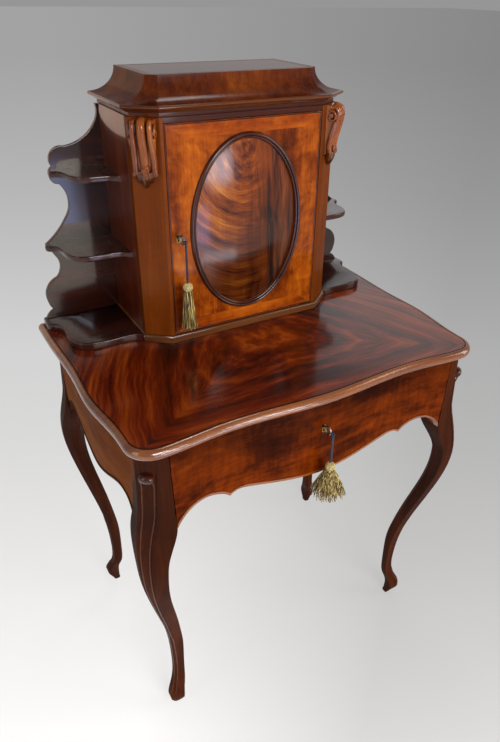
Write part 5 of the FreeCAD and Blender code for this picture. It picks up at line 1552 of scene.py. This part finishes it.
@dataclass
class Cupboard:
    """The cupboard, its cornice, shelves, wings and brackets.

    Attributes:
        shop: The workshop.
        plinth_half: Half the width of the plinth in the base board.
    """

    shop: Workshop
    plinth_half: float = 0.2055

    def base(self) -> None:
        """Part the base board in the plinth under the cupboard and the shelf at either side."""
        half = self.plinth_half
        for name, finish, cuts in (("plinth", Finish.PLINTH, ((half, 1.0), (-half, -1.0))),
                                   ("shelf_left", Finish.SHELF, ((-half, 1.0),)),
                                   ("shelf_right", Finish.SHELF, ((half, -1.0),))):
            piece = self.shop.eased("base_board", finish, 0.0012)
            piece.name = f"base_{name}"
            for place, way in cuts:
                bpy.ops.object.mode_set(mode="EDIT")
                bpy.ops.mesh.select_all(action="SELECT")
                bpy.ops.mesh.bisect(plane_co=(place, 0.0, 0.0), plane_no=(way, 0.0, 0.0),
                                    use_fill=True, clear_outer=True)
                bpy.ops.object.mode_set(mode="OBJECT")

    def build(self) -> None:
        """Finish the cupboard."""
        self.base()
        for side in ("left", "right"):
            for node, finish, ease in (("cupboard_side", Finish.SIDE, 0.0006),
                                       ("corner_post", Finish.POST, 0.0008),
                                       ("shelf_middle", Finish.SHELF, 0.0008),
                                       ("shelf_upper", Finish.SHELF, 0.0008),
                                       ("wing", Finish.WING, 0.0012)):
                self.shop.eased(f"{node}_{side}", finish, ease)
        for side in (1.0, -1.0):
            CarvedBracket(self.shop, side).build()
        # The head rail and the cupboard top take the dark frieze finish, partly as painted shade under the
        # cornice lip.
        self.shop.eased("door_head_rail", Finish.FRIEZE, 0.0005)
        self.shop.eased("cupboard_top", Finish.FRIEZE, 0.0005)
        self.shop.eased("cornice_lip", Finish.LIP, 0.0004, 22.0)
        self.shop.eased("cornice_cove", Finish.CORNICE, 0.0005, 22.0)
        self.shop.eased("cornice_top", Finish.CORNICE_TOP, 0.0004)
        self.shop.polish(Finish.BACK, "cupboard_back")
        self.shop.polish(Finish.CARCASE, "inner_shelf")
        self.shop.polish(Finish.BRASS, "pivots_case")


@dataclass
class Door:
    """The door with its domed oval panel.

    Attributes:
        shop: The workshop.
        bead_radius: The radius of the bead round the door's front.
        bead_inset: How far in from the door's edge the bead runs.
    """

    shop: Workshop
    bead_radius: float = 0.0011
    bead_inset: float = 0.0016

    def edge_bead(self) -> Piece:
        """Run the thin dark bead round the door's front.

        Returns:
            The bead.
        """
        frame = [v.co for name in ("door_stile_lock", "door_stile_hinge", "door_rails")
                 for v in self.shop.nodes[name].data.vertices]
        front = min(p.y for p in frame) + self.bead_radius * 0.25
        across, upright = [p.x for p in frame], [p.z for p in frame]
        left, right = min(across) + self.bead_inset, max(across) - self.bead_inset
        foot, head = min(upright) + self.bead_inset, max(upright) - self.bead_inset
        edge = [(left, foot), (right, foot), (right, head), (left, head), (left, foot)]
        lines = [[(Vector((x, front, z)), self.bead_radius) for x, z in ends]
                 for ends in zip(edge, edge[1:])]
        return swept("door_edge_bead", lines, 3)

    def build(self) -> None:
        """Finish the door."""
        self.shop.polish(Finish.DOOR, "door_stile_lock", "door_stile_hinge", "door_field")
        self.shop.polish(Finish.DOOR_RAIL, "door_rails")
        self.shop.settle(self.edge_bead(), Body.DOOR.value, Slot.DARK.value, Finish.MOULDING)
        self.shop.eased("oval_panel", Finish.OVAL, 0.0004)
        self.shop.eased("oval_moulding", Finish.MOULDING, 0.0002, 60.0)
        self.shop.polish(Finish.BRASS, "pivots_door")


def main() -> None:
    """Build the whole scene in order."""
    logging.basicConfig(level=logging.INFO, format="%(message)s")
    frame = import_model()
    Studio().build()
    shop = Workshop(frame)
    HangingTassel(shop, "door", knot=(-0.138, 0.0241, 0.9345), length=0.074,
                  skirt=(0.0062, 0.0105, 0.0148), drop=0.0745, strands=200, seed=7).build()
    HangingTassel(shop, "drawer", knot=(-0.004, -0.2554, 0.660), length=0.060,
                  skirt=(0.0062, 0.022, 0.0335), drop=0.0535, strands=330, seed=5).build()
    LockAndKey(shop, "door").build()
    LockAndKey(shop, "drawer").build()
    Table(shop).build()
    Drawer(shop).build()
    Cupboard(shop).build()
    Door(shop).build()


if __name__ == "__main__":
    main()
